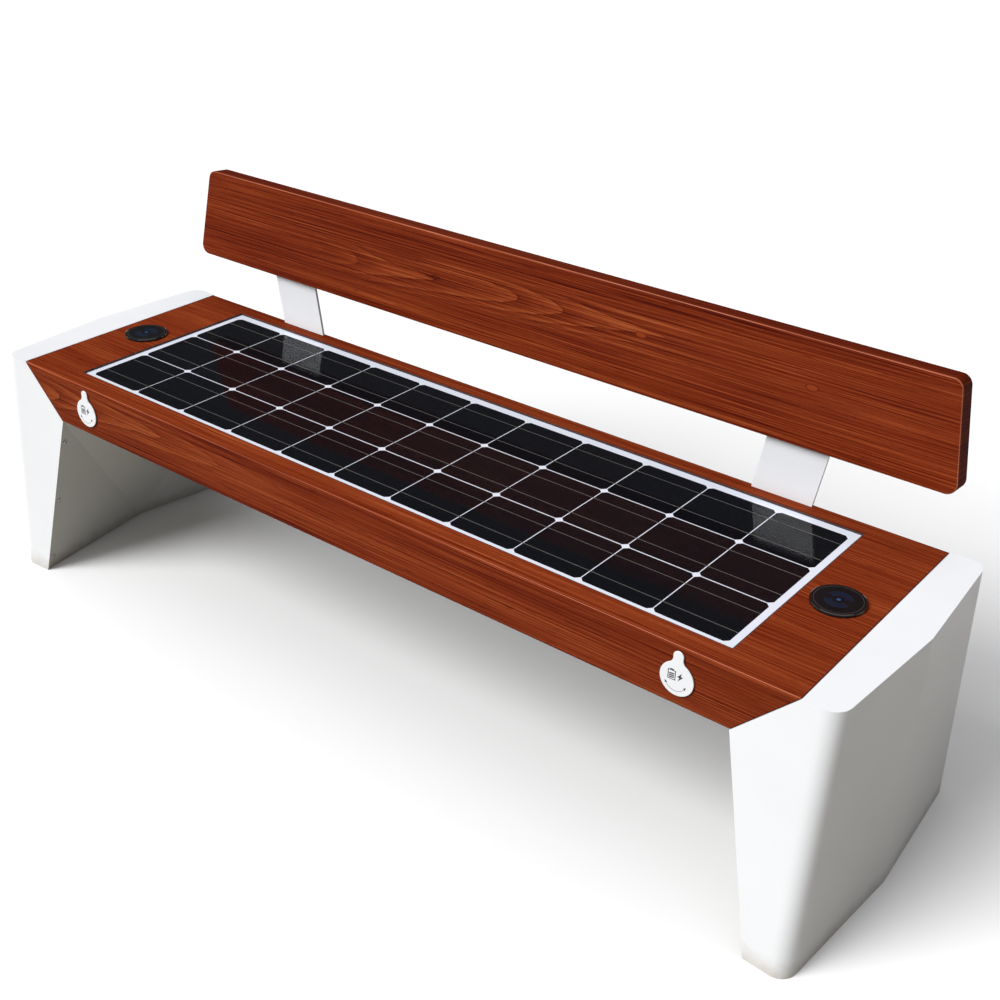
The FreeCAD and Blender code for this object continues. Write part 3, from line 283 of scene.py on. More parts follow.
def lathe(bm, profile, sides, turn=None):
    """Adds a solid of revolution about Z from radius and height pairs, each end on the axis."""
    angles = [full_turn * k / sides for k in range(sides)]
    rings = []
    for radius, height in profile:
        if radius == 0.0:
            rings.append([bm.verts.new((0.0, 0.0, height))])
        else:
            rings.append([bm.verts.new((radius * math.cos(a), radius * math.sin(a), height))
                          for a in angles])
    for low, high in zip(rings, rings[1:]):
        for k in range(sides):
            after = (k + 1) % sides
            corners = list(dict.fromkeys((low[k % len(low)], low[after % len(low)],
                                          high[after % len(high)], high[k % len(high)])))
            if len(corners) > 2:
                bm.faces.new(corners)
    if turn:
        made = [vert for ring in rings for vert in ring]
        bmesh.ops.transform(bm, matrix=turn, verts=made)


def add_block(bm, centre, size, turn=0.0):
    """Adds a box of a given size about a point, turned about Z."""
    place = (Matrix.Translation(centre) @ Matrix.Rotation(turn, 4, "Z")
             @ Matrix.Diagonal((*size, 1.0)))
    bmesh.ops.create_cube(bm, size=1.0, matrix=place)


def islands(node):
    """The points of each separate solid in a CAD node."""
    bm = bmesh.new()
    bm.from_mesh(node.data)
    bmesh.ops.remove_doubles(bm, verts=bm.verts, dist=1e-6)
    left = set(bm.verts)
    found = []
    while left:
        grown = {left.pop()}
        edge = list(grown)
        while edge:
            for link in edge.pop().link_edges:
                for vert in link.verts:
                    if vert in left:
                        left.discard(vert)
                        grown.add(vert)
                        edge.append(vert)
        found.append(np.array(sorted(vert.co[:] for vert in grown)))
    bm.free()
    return sorted(found, key=lambda points: tuple(points.mean(0).round(5)))


def screw_places(node):
    """Where each screw's head sits, which way it faces, and its head's radius and height."""
    places = []
    for points in islands(node):
        centre = points.mean(0)
        # A turned solid spreads alike in two directions, and its axis is the odd one.
        spread, axes = np.linalg.eigh(np.cov((points - centre).T))
        odd = 2 if spread[2] - spread[1] > spread[1] - spread[0] else 0
        axis = axes[:, odd]
        along = (points - centre) @ axis
        away = np.linalg.norm(points - centre - np.outer(along, axis), axis=1)
        # The widest points are those of the head.
        wide = away > 0.9 * away.max()
        if along[wide].mean() < 0.0:
            axis, along = -axis, -along
        seat = along[wide].min()
        places.append((Vector(centre + axis * seat), Vector(axis), away.max(), along.max() - seat))
    return places


def recessed_head(radius, height):
    """One pan head with its cross recess, on the XY plane."""
    bm = bmesh.new()
    dome = [(radius * math.cos(a) ** dome_power, height * (1.0 - dome_rise + dome_rise * math.sin(a)))
            for a in (0.25 * full_turn * k / dome_steps for k in range(dome_steps))]
    lathe(bm, [(0.0, 0.0), (radius, 0.0)] + dome + [(0.0, height)], head_sides)
    head = mesh_piece("head", bm)
    bar_size = (2.0 * recess_reach * radius, 2.0 * recess_bar * radius, 2.0 * recess_depth * height)
    for turn in (0.0, 0.25 * full_turn):
        cutter = bmesh.new()
        add_block(cutter, (0.0, 0.0, height), bar_size, turn)
        bar = mesh_piece("bar", cutter)
        cut = head.modifiers.new("recess", "BOOLEAN")
        cut.operation = "DIFFERENCE"
        cut.object = bar
        cut.solver = "EXACT"
        graph = bpy.context.evaluated_depsgraph_get()
        mesh = bpy.data.meshes.new_from_object(head.evaluated_get(graph))
        head.modifiers.clear()
        head.data = mesh
        bpy.data.objects.remove(bar)
    mesh = head.data
    bpy.data.objects.remove(head)
    return mesh


def smooth_edges(piece):
    """Shades a piece smooth, but keeps its sharp edges."""
    piece.data.shade_smooth()
    bm = bmesh.new()
    bm.from_mesh(piece.data)
    for edge in bm.edges:
        edge.smooth = edge.calc_face_angle(0.0) < crease_angle
    bm.to_mesh(piece.data)
    bm.free()


def pan_screws(name, node_name, turn_step):
    """Detailed screws in the place of a node of simple ones."""
    bm = bmesh.new()
    head = None
    for count, (seat, axis, radius, height) in enumerate(screw_places(nodes[node_name])):
        head = head or recessed_head(radius, height)
        place = (Matrix.Translation(seat) @ axis.to_track_quat("Z", "Y").to_matrix().to_4x4()
                 @ Matrix.Rotation(turn_step * count, 4, "Z"))
        copy = head.copy()
        copy.transform(place)
        bm.from_mesh(copy)
        shank = shank_radius * radius
        length = shank_length * radius
        lathe(bm, [(0.0, -length), (shank_tip * radius, -length), (shank, shank - length),
                   (shank, 0.0), (0.0, 0.0)], shank_sides, place)
    piece = mesh_piece(name, bm, screw_steel)
    smooth_edges(piece)
    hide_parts(node_name)
    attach(piece, "bench")


screw_steel = stainless("screw_steel")
pan_screws("leg_screw_heads", "leg_panel_screws", turn_step=0.7)
pan_screws("underside_screw_heads", "underside_screws", turn_step=0.9)
pan_screws("rear_screw_heads", "rear_cover_screws", turn_step=1.1)
dress(["seat_end_bolts", "bracket_seat_bolts", "bracket_back_bolts", "pivot_nut"], screw_steel)


# Seat cover, backrest shell and rear cover
# Folded from aluminium sheet with a heat-printed wood grain film, red-brown with dark growth
# lines and fine pores, under a clear half-gloss coat. The grain runs on over the folds.
grain_dark = (0.055, 0.0045, 0.0025)
grain_low = (0.135, 0.0150, 0.0040)
grain_middle = (0.190, 0.0290, 0.0080)
grain_high = (0.268, 0.0485, 0.0130)
grain_pale = (0.365, 0.0860, 0.0260)
# The colour of the painted highlight along the folds
fold_worn = (0.62, 0.235, 0.135)
cut_edge = (0.045, 0.012, 0.016)
# Shares of painted shade on the seat's aprons, and on the board's returns and back
apron_painted_shade = 0.10
return_painted_shade = 0.5
edge_width = 0.0022
fold_width = 0.0009
arch_pitch = 0.19
arch_tip_radius = 0.0017
arch_tip_slope = 4.0
heart_reach = 0.046
heart_drift = 0.09
growth_line = 0.0016
# Waves per metre along and across the grain, layer, detail and strength of each noise
ring_sway = ((2.6, 0.8, 2.0, 0.5, 3.4), (1.3, 7.0, 4.0, 1.0, 1.1), (18.0, 75.0, 3.0, 1.0, 0.28))
grain_streaks = ((1.0, 22.0, 7.0, 1.0, 0.60), (1.4, 330.0, 5.0, 2.0, 1.35),
                 (5.0, 760.0, 6.0, 1.0, 1.30))
figure_half = 0.27
figure_fade = 0.20
figure_least = 0.08
pore_depth = 0.00002
board_lean = math.radians(5.44)
knot_size = (0.0105, 0.0046)
board_depth = 0.0355
seat_half_depth = -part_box("seat_cover")[0].y
seat_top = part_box("seat_cover")[1].z
seam_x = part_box("seat_cover")[1].x
mitre_slope = 0.98


def seat_film(grain):
    """Runs the film from the seat top down both aprons, with painted shade on them below the fold."""
    drop = grain.math("SUBTRACT", seat_top, grain.z)
    side = grain.math("SIGN", grain.y)
    across = grain.math("MULTIPLY_ADD", side, drop, grain.y)
    from_fold = grain.math("ABSOLUTE", grain.math("ADD", across, seat_half_depth))
    # A painted highlight in a thin band along the front fold.
    fold = grain.remap(from_fold, 0.0, fold_width, 1.0, 0.0)
    end = grain.math("MULTIPLY_ADD", drop, -mitre_slope, seam_x)
    from_end = grain.math("SUBTRACT", end, grain.math("ABSOLUTE", grain.x))
    painted_shade = grain.remap(drop, 0.002, 0.006, 0.0, apron_painted_shade)
    return grain.x, across, fold, from_end, painted_shade


def board_film(grain):
    """Runs the film over the folds of the leaning board, with painted shade on its returns and its
    back.
    """
    low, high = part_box("backrest_shell")
    cos, sin = math.cos(board_lean), math.sin(board_lean)
    middle = 0.5 * (low + high)
    from_y = grain.math("SUBTRACT", grain.y, middle.y)
    from_z = grain.math("SUBTRACT", grain.z, middle.z)
    up = grain.math("ADD", grain.math("MULTIPLY", from_z, cos), grain.math("MULTIPLY", from_y, sin))
    back = grain.math("SUBTRACT", grain.math("MULTIPLY", from_y, cos),
                      grain.math("MULTIPLY", from_z, sin))
    from_front = grain.math("ADD", back, 0.5 * board_depth)
    on_end = grain.math("GREATER_THAN", grain.math("ABSOLUTE", grain.facing((1.0, 0.0, 0.0))), 0.8)
    on_return = grain.math("GREATER_THAN", grain.math("ABSOLUTE", grain.facing((0.0, sin, cos))), 0.6)
    wrap = grain.math("MULTIPLY", grain.math("SIGN", up), on_return)
    across = grain.math("MULTIPLY_ADD", wrap, from_front, up)
    along = grain.math("MULTIPLY_ADD", on_end, back, grain.x)
    facing = grain.facing((0.0, -cos, sin))
    # A painted highlight on the rounded edges, which face half forward.
    fold = grain.math("MULTIPLY", grain.remap(facing, 0.40, 0.62), grain.remap(facing, 0.97, 0.80))
    painted_shade = grain.remap(from_front, 0.003, 0.007, 0.0, return_painted_shade)
    return along, across, fold, 1.0, painted_shade


class Grain(Finish):
    """A printed film, drawn along and across its grain instead of over the piece."""

    def __init__(self, name, film, seed):
        super().__init__(name, Specular_IOR_Level=0.0, Coat_Weight=0.05, Coat_Roughness=0.2)
        self.seed = seed
        self.along, self.across, self.fold, self.from_end, self.painted_shade = film(self)

    def stretched(self, by_along, by_across, layer, detail=2.0):
        """A noise with so many waves per metre each way, different on every layer."""
        where = self.point(self.math("MULTIPLY", self.along, by_along),
                           self.math("MULTIPLY", self.across, by_across), self.seed + layer)
        return self.noise(where, 1.0, detail)

    def added(self, tone, noise, strength):
        """The tone, moved up or down by a noise, counted from the noise's middle."""
        return self.math("MULTIPLY_ADD", self.math("SUBTRACT", noise, 0.5), strength, tone)


def growth_rings(grain, heart):
    """Rings that nest as parabolas on a wandering heart line. It gives the distance from that
    line, the share of a ring that is grown, and the distance to the next growth line."""
    off = grain.math("SUBTRACT", grain.across, heart)
    off = grain.added(off, grain.stretched(1.3, 0.5, 0.0, 0.5), heart_drift)
    spread = grain.math("MULTIPLY", grain.math("MULTIPLY", off, off), 0.5 / arch_tip_radius)
    phase = grain.math("MULTIPLY", grain.math("ADD", grain.along, spread), 1.0 / arch_pitch)
    for *waves, strength in ring_sway:
        phase = grain.added(phase, grain.stretched(*waves), strength)
    ring = grain.math("FRACT", phase)
    steep = grain.math("MULTIPLY", off, 1.0 / (arch_tip_radius * arch_pitch))
    least = (arch_tip_slope / arch_pitch) ** 2
    steep = grain.math("SQRT", grain.math("MULTIPLY_ADD", steep, steep, least))
    to_line = grain.math("DIVIDE", grain.math("SUBTRACT", 1.0, ring), steep)
    return off, ring, to_line


def figure_share(grain, off, figured):
    """How strongly the arches show: near the heart line on one stretch, fainter in patches."""
    near = grain.remap(grain.math("ABSOLUTE", off), 0.45 * heart_reach, heart_reach, 1.0, 0.0)
    beside = grain.math("ABSOLUTE", grain.math("SUBTRACT", grain.along, figured))
    stretch = grain.remap(beside, figure_half, figure_half + figure_fade, 1.0, figure_least)
    patches = grain.remap(grain.stretched(1.6, 3.0, 13.0, 0.5), 0.36, 0.50, 0.45, 1.0)
    return grain.math("MULTIPLY", grain.math("MULTIPLY", near, stretch), patches)


def grain_colour(grain, ring, to_line, figure, warmth):
    """Rings that tint the figure, straight streaks over all of it, and dark growth lines."""
    growth = grain.ramp(ring, (0.0, (0.43,) * 3), (0.25, (0.50,) * 3), (0.85, (0.82,) * 3),
                        (1.0, (0.78,) * 3))
    tone = grain.math("MULTIPLY_ADD", grain.math("SUBTRACT", growth, 0.5), figure, warmth)
    for *waves, strength in grain_streaks:
        tone = grain.added(tone, grain.stretched(*waves), strength)
    colour = grain.ramp(tone, (0.04, grain_dark), (0.28, grain_low), (0.50, grain_middle),
                        (0.74, grain_high), (0.98, grain_pale))
    line = grain.remap(to_line, 0.35 * growth_line, growth_line, 0.9, 0.0)
    return grain.mix(grain.math("MULTIPLY", line, figure), colour, grain_dark)


def add_knot(grain, colour, knot):
    """A small pale knot with a darker ring round it."""
    from_x = grain.math("DIVIDE", grain.math("SUBTRACT", grain.along, knot[0]), knot_size[0])
    from_y = grain.math("DIVIDE", grain.math("SUBTRACT", grain.across, knot[1]), knot_size[1])
    away = grain.math("MULTIPLY_ADD", from_x, from_x, grain.math("MULTIPLY", from_y, from_y))
    colour = grain.mix(grain.remap(away, 1.9, 1.05, 0.0, 0.75), colour, grain_low)
    return grain.mix(grain.remap(away, 0.95, 0.7, 0.0, 0.85), colour, grain_high)


def wood_print(name, film, seed, heart, figured, warmth, knots=()):
    """Flat-sawn grain: close straight streaks, and nested arches on the figured stretch."""
    grain = Grain(name, film, seed)
    off, ring, to_line = growth_rings(grain, heart)
    figure = figure_share(grain, off, figured)
    colour = grain_colour(grain, ring, to_line, figure, warmth)
    # Short dark pores lie along the grain.
    dash = grain.stretched(24.0, 430.0, 9.0, 1.0)
    pores = grain.math("MAXIMUM", grain.remap(dash, 0.66, 0.72, 0.0, 0.6),
                       grain.remap(grain.stretched(75.0, 1250.0, 11.0), 0.62, 0.70, 0.0, 0.5))
    colour = grain.mix(pores, colour, grain_dark)
    for knot in knots:
        colour = add_knot(grain, colour, knot)
    # The folds carry a painted highlight, patchy along them, and the ends of the sheet are dark.
    highlight_patches = grain.remap(grain.stretched(3.0, 1.0, 15.0), 0.35, 0.6, 0.25, 0.75)
    colour = grain.mix(grain.math("MULTIPLY", grain.fold, highlight_patches), colour, fold_worn)
    # Painted shade on the aprons, the board's returns and its back.
    colour = grain.mix(grain.painted_shade, colour, grain_dark)
    colour = grain.mix(grain.remap(grain.from_end, 0.0, edge_width, 1.0, 0.0), colour, cut_edge)
    relief = grain.math("SUBTRACT", dash, pores)
    return grain.wear(colour, grain.spread(dash, 0.36, 0.28), grain.bump(relief, pore_depth))


seat_print = wood_print("seat_wood_print", seat_film, seed=4.0, heart=-0.283, figured=-0.50,
                        warmth=0.53)
board_print = wood_print("board_wood_print", board_film, seed=23.0, heart=0.012, figured=-0.04,
                         warmth=0.44, knots=((0.265, 0.0143), (0.583, 0.012)))
dress(["seat_cover"], seat_print)
dress(["backrest_shell", "backrest_rear_cover"], board_print)


# Solar laminate
# Thirty-three silicon cells with cut corners lie in three rows, bonded between toughened glass
# and a white backsheet and joined by tinned ribbons. A rubber seal closes the joint to the seat.
cell_black = (0.0032, 0.0042, 0.0062)
cell_brown = (0.0064, 0.0060, 0.0078)
finger_tone = (0.0085, 0.0080, 0.0095)
finger_pitch = 0.0021
finger_share = 0.10
wafer_share = 0.35
cell_pitch = 0.127
row_pitch = 0.1255
face_roughness = 0.03
backsheet_white = (0.84, 0.855, 0.94)
backsheet_shade = (0.80, 0.82, 0.92)
ribbon_tin = (0.15, 0.14, 0.13)
ribbon_shade = 0.7
glass_tint = (0.97, 0.985, 1.0, 1.0)
glass_clear = (0.985, 0.99, 0.99)
seal_black = (0.060, 0.030, 0.030)
seal_shade = (0.042, 0.020, 0.020)


def cell_finish(name):
    """Dark silicon with fine fingers. It carries the gloss of the glass that is bonded to it."""
    cell = Finish(name, Specular_IOR_Level=0.22)
    column = cell.math("FLOOR", cell.math("MULTIPLY_ADD", cell.x, 1.0 / cell_pitch, 0.5))
    row = cell.math("FLOOR", cell.math("MULTIPLY_ADD", cell.y, 1.0 / row_pitch, 0.5))
    batch = cell.add("TexWhiteNoise", {"Vector": cell.point(column, row, 0.0)}, out="Value",
                     noise_dimensions="3D")
    wafer = cell.noise(cell.place, scale=18.0)
    batch = cell.math("MULTIPLY", batch, 1.0 - wafer_share)
    tone = cell.mix(cell.math("MULTIPLY_ADD", wafer, wafer_share, batch), cell_black, cell_brown)
    finger = cell.math("FRACT", cell.math("MULTIPLY", cell.x, 1.0 / finger_pitch))
    tone = cell.mix(cell.math("LESS_THAN", finger, finger_share), tone, finger_tone)
    gloss = cell.spread(wafer, face_roughness, 2.0 * face_roughness)
    return cell.wear(tone, gloss, cell.bump(wafer, depth=0.00001))


def plain_moulding(name, colour, shade, roughness, size=0.0009, depth=0.00003, **values):
    """A moulded or rolled surface: two close tones in soft clouds over a fine grain."""
    skin = Finish(name, **values)
    cloud = skin.noise(skin.place, scale=22.0, detail=3.0)
    tone = skin.mix(skin.spread(cloud), shade, colour)
    grain = skin.noise(skin.place, 1.0 / size, roughness=0.6)
    gloss = skin.spread(cloud, roughness - 0.04, roughness + 0.05)
    return skin.wear(tone, gloss, skin.bump(grain, depth))


def tinned(name):
    """Bright tin, rippled along the ribbon."""
    tin = Finish(name, Metallic=0.3)
    ripple = tin.noise(tin.scaled(60.0, 1600.0, 1.0), scale=1.0)
    tone = tin.mix(ripple, tuple(ribbon_shade * part for part in ribbon_tin), ribbon_tin)
    return tin.wear(tone, tin.spread(ripple, 0.3, 0.5), tin.bump(ripple, depth=0.00002))


def laminate_glass(name):
    """Clear bonded glass, which lets the lamps through to the cells."""
    pane = Finish(name, Transmission_Weight=1.0, IOR=1.02, Base_Color=glass_tint)
    smear = pane.noise(pane.scaled(3.0, 5.0, 1.0), scale=2.2)
    pane.wear(roughness=pane.spread(smear, 0.004, 0.012))
    through = pane.add("BsdfTransparent", {0: glass_clear})
    met = pane.add("LightPath", out="Is Camera Ray")
    both = pane.add("MixShader", {0: met, 1: through, 2: pane.shader.outputs[0]})
    pane.tree.links.new(both, pane.tree.nodes["Material Output"].inputs["Surface"])
    return pane.material


dress(["solar_cells"], cell_finish("cell_silicon"))
dress(["cell_ribbons"], tinned("ribbon_tin"))
backsheet = plain_moulding("backsheet_film", backsheet_white, backsheet_shade, roughness=0.07,
                           depth=0.0)
dress(["solar_backsheet"], backsheet)
dress(["solar_glass"], laminate_glass("laminate_glass"))
rubber = plain_moulding("seal_rubber", seal_black, seal_shade, roughness=0.7, size=0.0006,
                        depth=0.00005)
dress(["solar_seal", "usb_gasket"], rubber)


# Wireless chargers
# A black moulded cup with a rounded rim sits in a round hole at each end of the seat, clamped
# by a ring nut from below. Its disc is printed with blue waves and a dot, and a thin ring of painted
# highlight runs round its edge.
charger_black = (0.0075, 0.0075, 0.0085)
charger_shade = (0.0050, 0.0050, 0.0060)
wave_blue = (0.009, 0.036, 0.098)
wave_shade = (0.006, 0.022, 0.065)
dot_blue = (0.018, 0.088, 0.230)
dot_shade = (0.013, 0.068, 0.185)
# Colours of the painted highlight ring round the disc's edge
edge_highlight_grey = (0.105, 0.105, 0.110)
edge_highlight_shade = (0.045, 0.045, 0.05)
print_lift = 0.00012
wave_radii = (0.0112, 0.0143, 0.0174, 0.0205)
wave_width = 0.0008
wave_spread = math.radians(135.0)
wave_turns = (math.radians(90.0), math.radians(270.0))
wave_steps = 24
dot_radius = 0.0032
dot_hole = 0.1
dot_steps = 24
ring_radius = 0.0360
ring_width = 0.0005
ring_steps = 96


def arc_strip(bm, centre, radius, width, start, spread, steps):
    """Adds a flat curved strip of print above a centre; a full turn closes on itself."""
    closed = spread >= full_turn
    count = steps if closed else steps + 1
    rows = []
    for k in range(count):
        angle = start + spread * k / steps
        out = Vector((math.cos(angle), math.sin(angle), 0.0))
        row = []
        for reach, lift in ((radius - width / 2.0, 0.0), (radius + width / 2.0, 0.0),
                            (radius + width / 2.0, print_lift), (radius - width / 2.0, print_lift)):
            row.append(bm.verts.new(centre + out * reach + Vector((0.0, 0.0, lift))))
        rows.append(row)
    pairs = list(zip(rows, rows[1:])) + ([(rows[-1], rows[0])] if closed else [])
    for one, two in pairs:
        for k in range(4):
            bm.faces.new((one[k], one[(k + 1) % 4], two[(k + 1) % 4], two[k]))
    if not closed:
        bm.faces.new(rows[0])
        bm.faces.new(rows[-1][::-1])


def charger_print(side):
    """The painted highlight ring round the disc's edge, and the waves and the dot printed on the
    disc.
    """
    low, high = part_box("charger_disc_" + side)
    centre = Vector(((low.x + high.x) / 2.0, (low.y + high.y) / 2.0, high.z))
    waves = bmesh.new()
    for radius in wave_radii:
        for turn in wave_turns:
            arc_strip(waves, centre, radius, wave_width, turn - wave_spread / 2.0, wave_spread,
                      wave_steps)
    blue = mesh_piece("charger_waves_" + side, waves, wave_ink)
    spot = bmesh.new()
    arc_strip(spot, centre, 0.5 * (1.0 + dot_hole) * dot_radius, (1.0 - dot_hole) * dot_radius,
              0.0, full_turn, dot_steps)
    dot = mesh_piece("charger_dot_" + side, spot, dot_ink)
    # A thin ring of painted highlight round the edge of the disc.
    ring = bmesh.new()
    arc_strip(ring, centre, ring_radius, ring_width, 0.0, full_turn, ring_steps)
    grey = mesh_piece("charger_ring_" + side, ring, edge_highlight_ink)
    for piece in (blue, dot, grey):
        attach(piece, "bench")


wave_ink = plain_moulding("wave_ink", wave_blue, wave_shade, roughness=0.3)
dot_ink = plain_moulding("dot_ink", dot_blue, dot_shade, roughness=0.3)
edge_highlight_ink = plain_moulding("edge_highlight_ink", edge_highlight_grey, edge_highlight_shade, roughness=0.3)
gloss_black = plain_moulding("charger_gloss", charger_black, charger_shade, roughness=0.10,
                             size=0.002, depth=0.00001, Coat_Weight=0.4, Coat_Roughness=0.08)
face_black = plain_moulding("charger_face", charger_black, charger_shade, roughness=0.3,
                            size=0.0007, depth=0.00001, Specular_IOR_Level=0.12)
dress(["charger_housing"], gloss_black)
dress(["charger_disc"], face_black)
for side in ("right", "left"):
    charger_print(side)


# Socket units
# A drop-shaped flange of black plastic is pulled against the front apron by a ring nut behind
# it. Its face holds two sockets, each a steel shell round a tongue with gilt contacts.
shell_wall = 0.0004
tongue_size = (0.0105, 0.0018, 0.0085)
tongue_setback = 0.0008
tongue_rise = 0.14
contact_size = (0.0012, 0.0003, 0.0065)
contact_pitch = 0.0023
contact_count = 4
socket_gap = 0.015
socket_opening = (0.0132, 0.0060)
socket_setback = 0.0002
plastic_black = (0.018, 0.018, 0.019)
plastic_shade = (0.013, 0.013, 0.014)
tongue_white = (0.62, 0.62, 0.60)
tongue_shade = (0.55, 0.55, 0.53)
brass_light = (0.70, 0.50, 0.22)
brass_dark = (0.52, 0.36, 0.14)


def round_centre(name):
    """The middle of the round lower part of a drop-shaped piece, on its front."""
    low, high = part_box(name)
    radius = (high.x - low.x) / 2.0
    return Vector(((low.x + high.x) / 2.0, low.y, low.z + radius))


def socket_parts(side):
    """Two steel shells one above the other, each with its tongue and contacts."""
    centre = round_centre("usb_body_" + side)
    width, height = socket_opening
    depth = tongue_size[2]
    shells, tongues, contacts = bmesh.new(), bmesh.new(), bmesh.new()
    for drop in (-0.5, 0.5):
        middle = centre + Vector((0.0, socket_setback + depth / 2.0, drop * socket_gap))
        for across, up, size in ((0.0, height - shell_wall, (width, depth, shell_wall)),
                                 (0.0, shell_wall - height, (width, depth, shell_wall)),
                                 (width - shell_wall, 0.0, (shell_wall, depth, height)),
                                 (shell_wall - width, 0.0, (shell_wall, depth, height))):
            add_block(shells, middle + Vector((across / 2.0, 0.0, up / 2.0)), size)
        tongue = middle + Vector((0.0, tongue_setback, height * tongue_rise))
        add_block(tongues, tongue, (tongue_size[0], depth, tongue_size[1]))
        for k in range(contact_count):
            place = Vector(((k - (contact_count - 1) / 2.0) * contact_pitch, 0.0,
                            -(tongue_size[1] + contact_size[1]) / 2.0))
            add_block(contacts, tongue + place, (contact_size[0], contact_size[2], contact_size[1]))
    made = [mesh_piece("socket_shells_" + side, shells, screw_steel),
            mesh_piece("socket_tongues_" + side, tongues, socket_white),
            mesh_piece("socket_contacts_" + side, contacts, gilt)]
    for piece, slot in zip(made, ("stainless_steel", "moulded_black", "bush_brass")):
        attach(piece, "bench")


def brass_finish(name):
    """Yellow metal with the fine marks of turning about Y."""
    brass = Finish(name, Metallic=1.0)
    turning = brass.noise(brass.scaled(1.0, 9.0, 1.0), scale=500.0)
    tone = brass.mix(turning, brass_dark, brass_light)
    gloss = brass.spread(turning, 0.24, 0.4)
    return brass.wear(tone, gloss, brass.bump(turning, depth=0.00002))


moulded_black = plain_moulding("moulded_black", plastic_black, plastic_shade, roughness=0.5)
gilt = brass_finish("brass")
socket_white = plain_moulding("socket_tongue", tongue_white, tongue_shade, roughness=0.45)
dress(["usb_body", "usb_locknut", "charger_nut"], moulded_black)
dress(["pivot_bush"], gilt)
for side in ("right", "left"):
    socket_parts(side)


# Port covers
# A drop-shaped plate hangs in front of each socket unit and swings aside on one stud near its
# top. It is white, and printed in dark ink with a battery, a bolt and a two-way arrow.
cover_white = (0.88, 0.905, 0.94)
cover_shade = (0.85, 0.875, 0.915)
cover_ink = (0.030, 0.025, 0.040)
cover_ink_shade = (0.040, 0.034, 0.052)
ink_lift = 0.00012
battery_place = Vector((-0.0080, 0.0045))
battery_width = 0.0128
battery_height = 0.0160
battery_line = 0.0013
battery_nub = (0.0058, 0.0018)
battery_bars = 3
battery_bar = 0.0021
battery_bar_pitch = 0.0031
battery_bar_lean = 0.0011
battery_bar_foot = 1.7 * battery_line
battery_bar_margin = 1.8 * battery_line
bolt_place = Vector((0.0056, 0.0050))
bolt_corners = ((0.0024, 0.0074), (-0.0046, -0.0008), (-0.0010, -0.0017), (-0.0036, -0.0082),
                (0.0046, 0.0012), (0.0010, 0.0017))
arrow_centre = Vector((-0.0012, -0.0030))
arrow_radius = 0.0172
arrow_line = 0.0006
arrow_from = math.radians(212.0)
arrow_sweep = math.radians(116.0)
arrow_steps = 28
arrow_head = 0.0050
arrow_barb = 0.42


def add_ink(bm, outline, place):
    """Adds a flat outline as a thin layer of ink; its points are right and up on the cover."""
    front = [bm.verts.new(place((x, y), ink_lift)) for x, y in outline]
    back = [bm.verts.new(place((x, y), 0.0)) for x, y in outline]
    bm.faces.new(front)
    bm.faces.new(back[::-1])
    for k in range(len(outline)):
        after = (k + 1) % len(outline)
        bm.faces.new((front[k], back[k], back[after], front[after]))


def rectangle(centre, width, height):
    """The corners of an upright rectangle, in order round it."""
    half_w, half_h = width / 2.0, height / 2.0
    return [(centre[0] + across * half_w, centre[1] + up * half_h)
            for across, up in ((-1, -1), (1, -1), (1, 1), (-1, 1))]


def battery_shapes():
    """Four walls, a nub on top and three slanted bars inside."""
    x, y = battery_place
    half_w, half_h = battery_width / 2.0, battery_height / 2.0
    line = battery_line
    shapes = [rectangle((x, y + half_h - line / 2.0), battery_width, line),
              rectangle((x, y - half_h + line / 2.0), battery_width, line)]
    for side in (-1.0, 1.0):
        wall = (x + side * (half_w - line / 2.0), y)
        shapes.append(rectangle(wall, line, battery_height - 2.0 * line))
    shapes.append(rectangle((x, y + half_h + battery_nub[1] / 2.0), *battery_nub))
    wide = half_w - battery_bar_margin
    for k in range(battery_bars):
        left = y - half_h + battery_bar_foot + k * battery_bar_pitch
        right = left + battery_bar_lean
        shapes.append([(x - wide, left), (x + wide, right), (x + wide, right + battery_bar),
                       (x - wide, left + battery_bar)])
    return shapes


def bolt_shape():
    """A lightning bolt, from its upper tip round by the left."""
    return [tuple(bolt_place + Vector(corner)) for corner in bolt_corners]


def arrow_shapes():
    """A thin arc that opens upwards, with a head at each end."""
    outer, inner = [], []
    for k in range(arrow_steps + 1):
        angle = arrow_from + arrow_sweep * k / arrow_steps
        ray = Vector((math.cos(angle), math.sin(angle)))
        outer.append(tuple(arrow_centre + ray * (arrow_radius + arrow_line / 2.0)))
        inner.append(tuple(arrow_centre + ray * (arrow_radius - arrow_line / 2.0)))
    shapes = [[outer[k], outer[k + 1], inner[k + 1], inner[k]] for k in range(arrow_steps)]
    for angle, way in ((arrow_from, -1.0), (arrow_from + arrow_sweep, 1.0)):
        ray = Vector((math.cos(angle), math.sin(angle)))
        ahead = Vector((-ray.y, ray.x)) * way
        base = arrow_centre + ray * arrow_radius
        barb = ray * arrow_head * arrow_barb
        shapes.append([tuple(base + ahead * arrow_head), tuple(base + barb), tuple(base - barb)])
    return shapes


def cover_print(side):
    """The battery, the bolt and the arrow, printed on one cover, which carries them along."""
    centre = round_centre("port_cover_" + side)

    def place(point, lift):
        return centre + Vector((point[0], -lift, point[1]))

    bm = bmesh.new()
    for outline in battery_shapes() + [bolt_shape()] + arrow_shapes():
        add_ink(bm, outline, place)
    bm.normal_update()
    bmesh.ops.triangulate(bm, faces=bm.faces)
    piece = mesh_piece("cover_print_" + side, bm, dark_ink)
    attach(piece, side + "_cover")


dark_ink = plain_moulding("dark_ink", cover_ink, cover_ink_shade, roughness=0.4)
cover_enamel = plain_moulding("cover_enamel", cover_white, cover_shade, roughness=0.3, size=0.0016,
                              depth=0.00002, Coat_Weight=0.3, Coat_Roughness=0.12)
dress(["port_cover"], cover_enamel)
for side in ("right", "left"):
    cover_print(side)


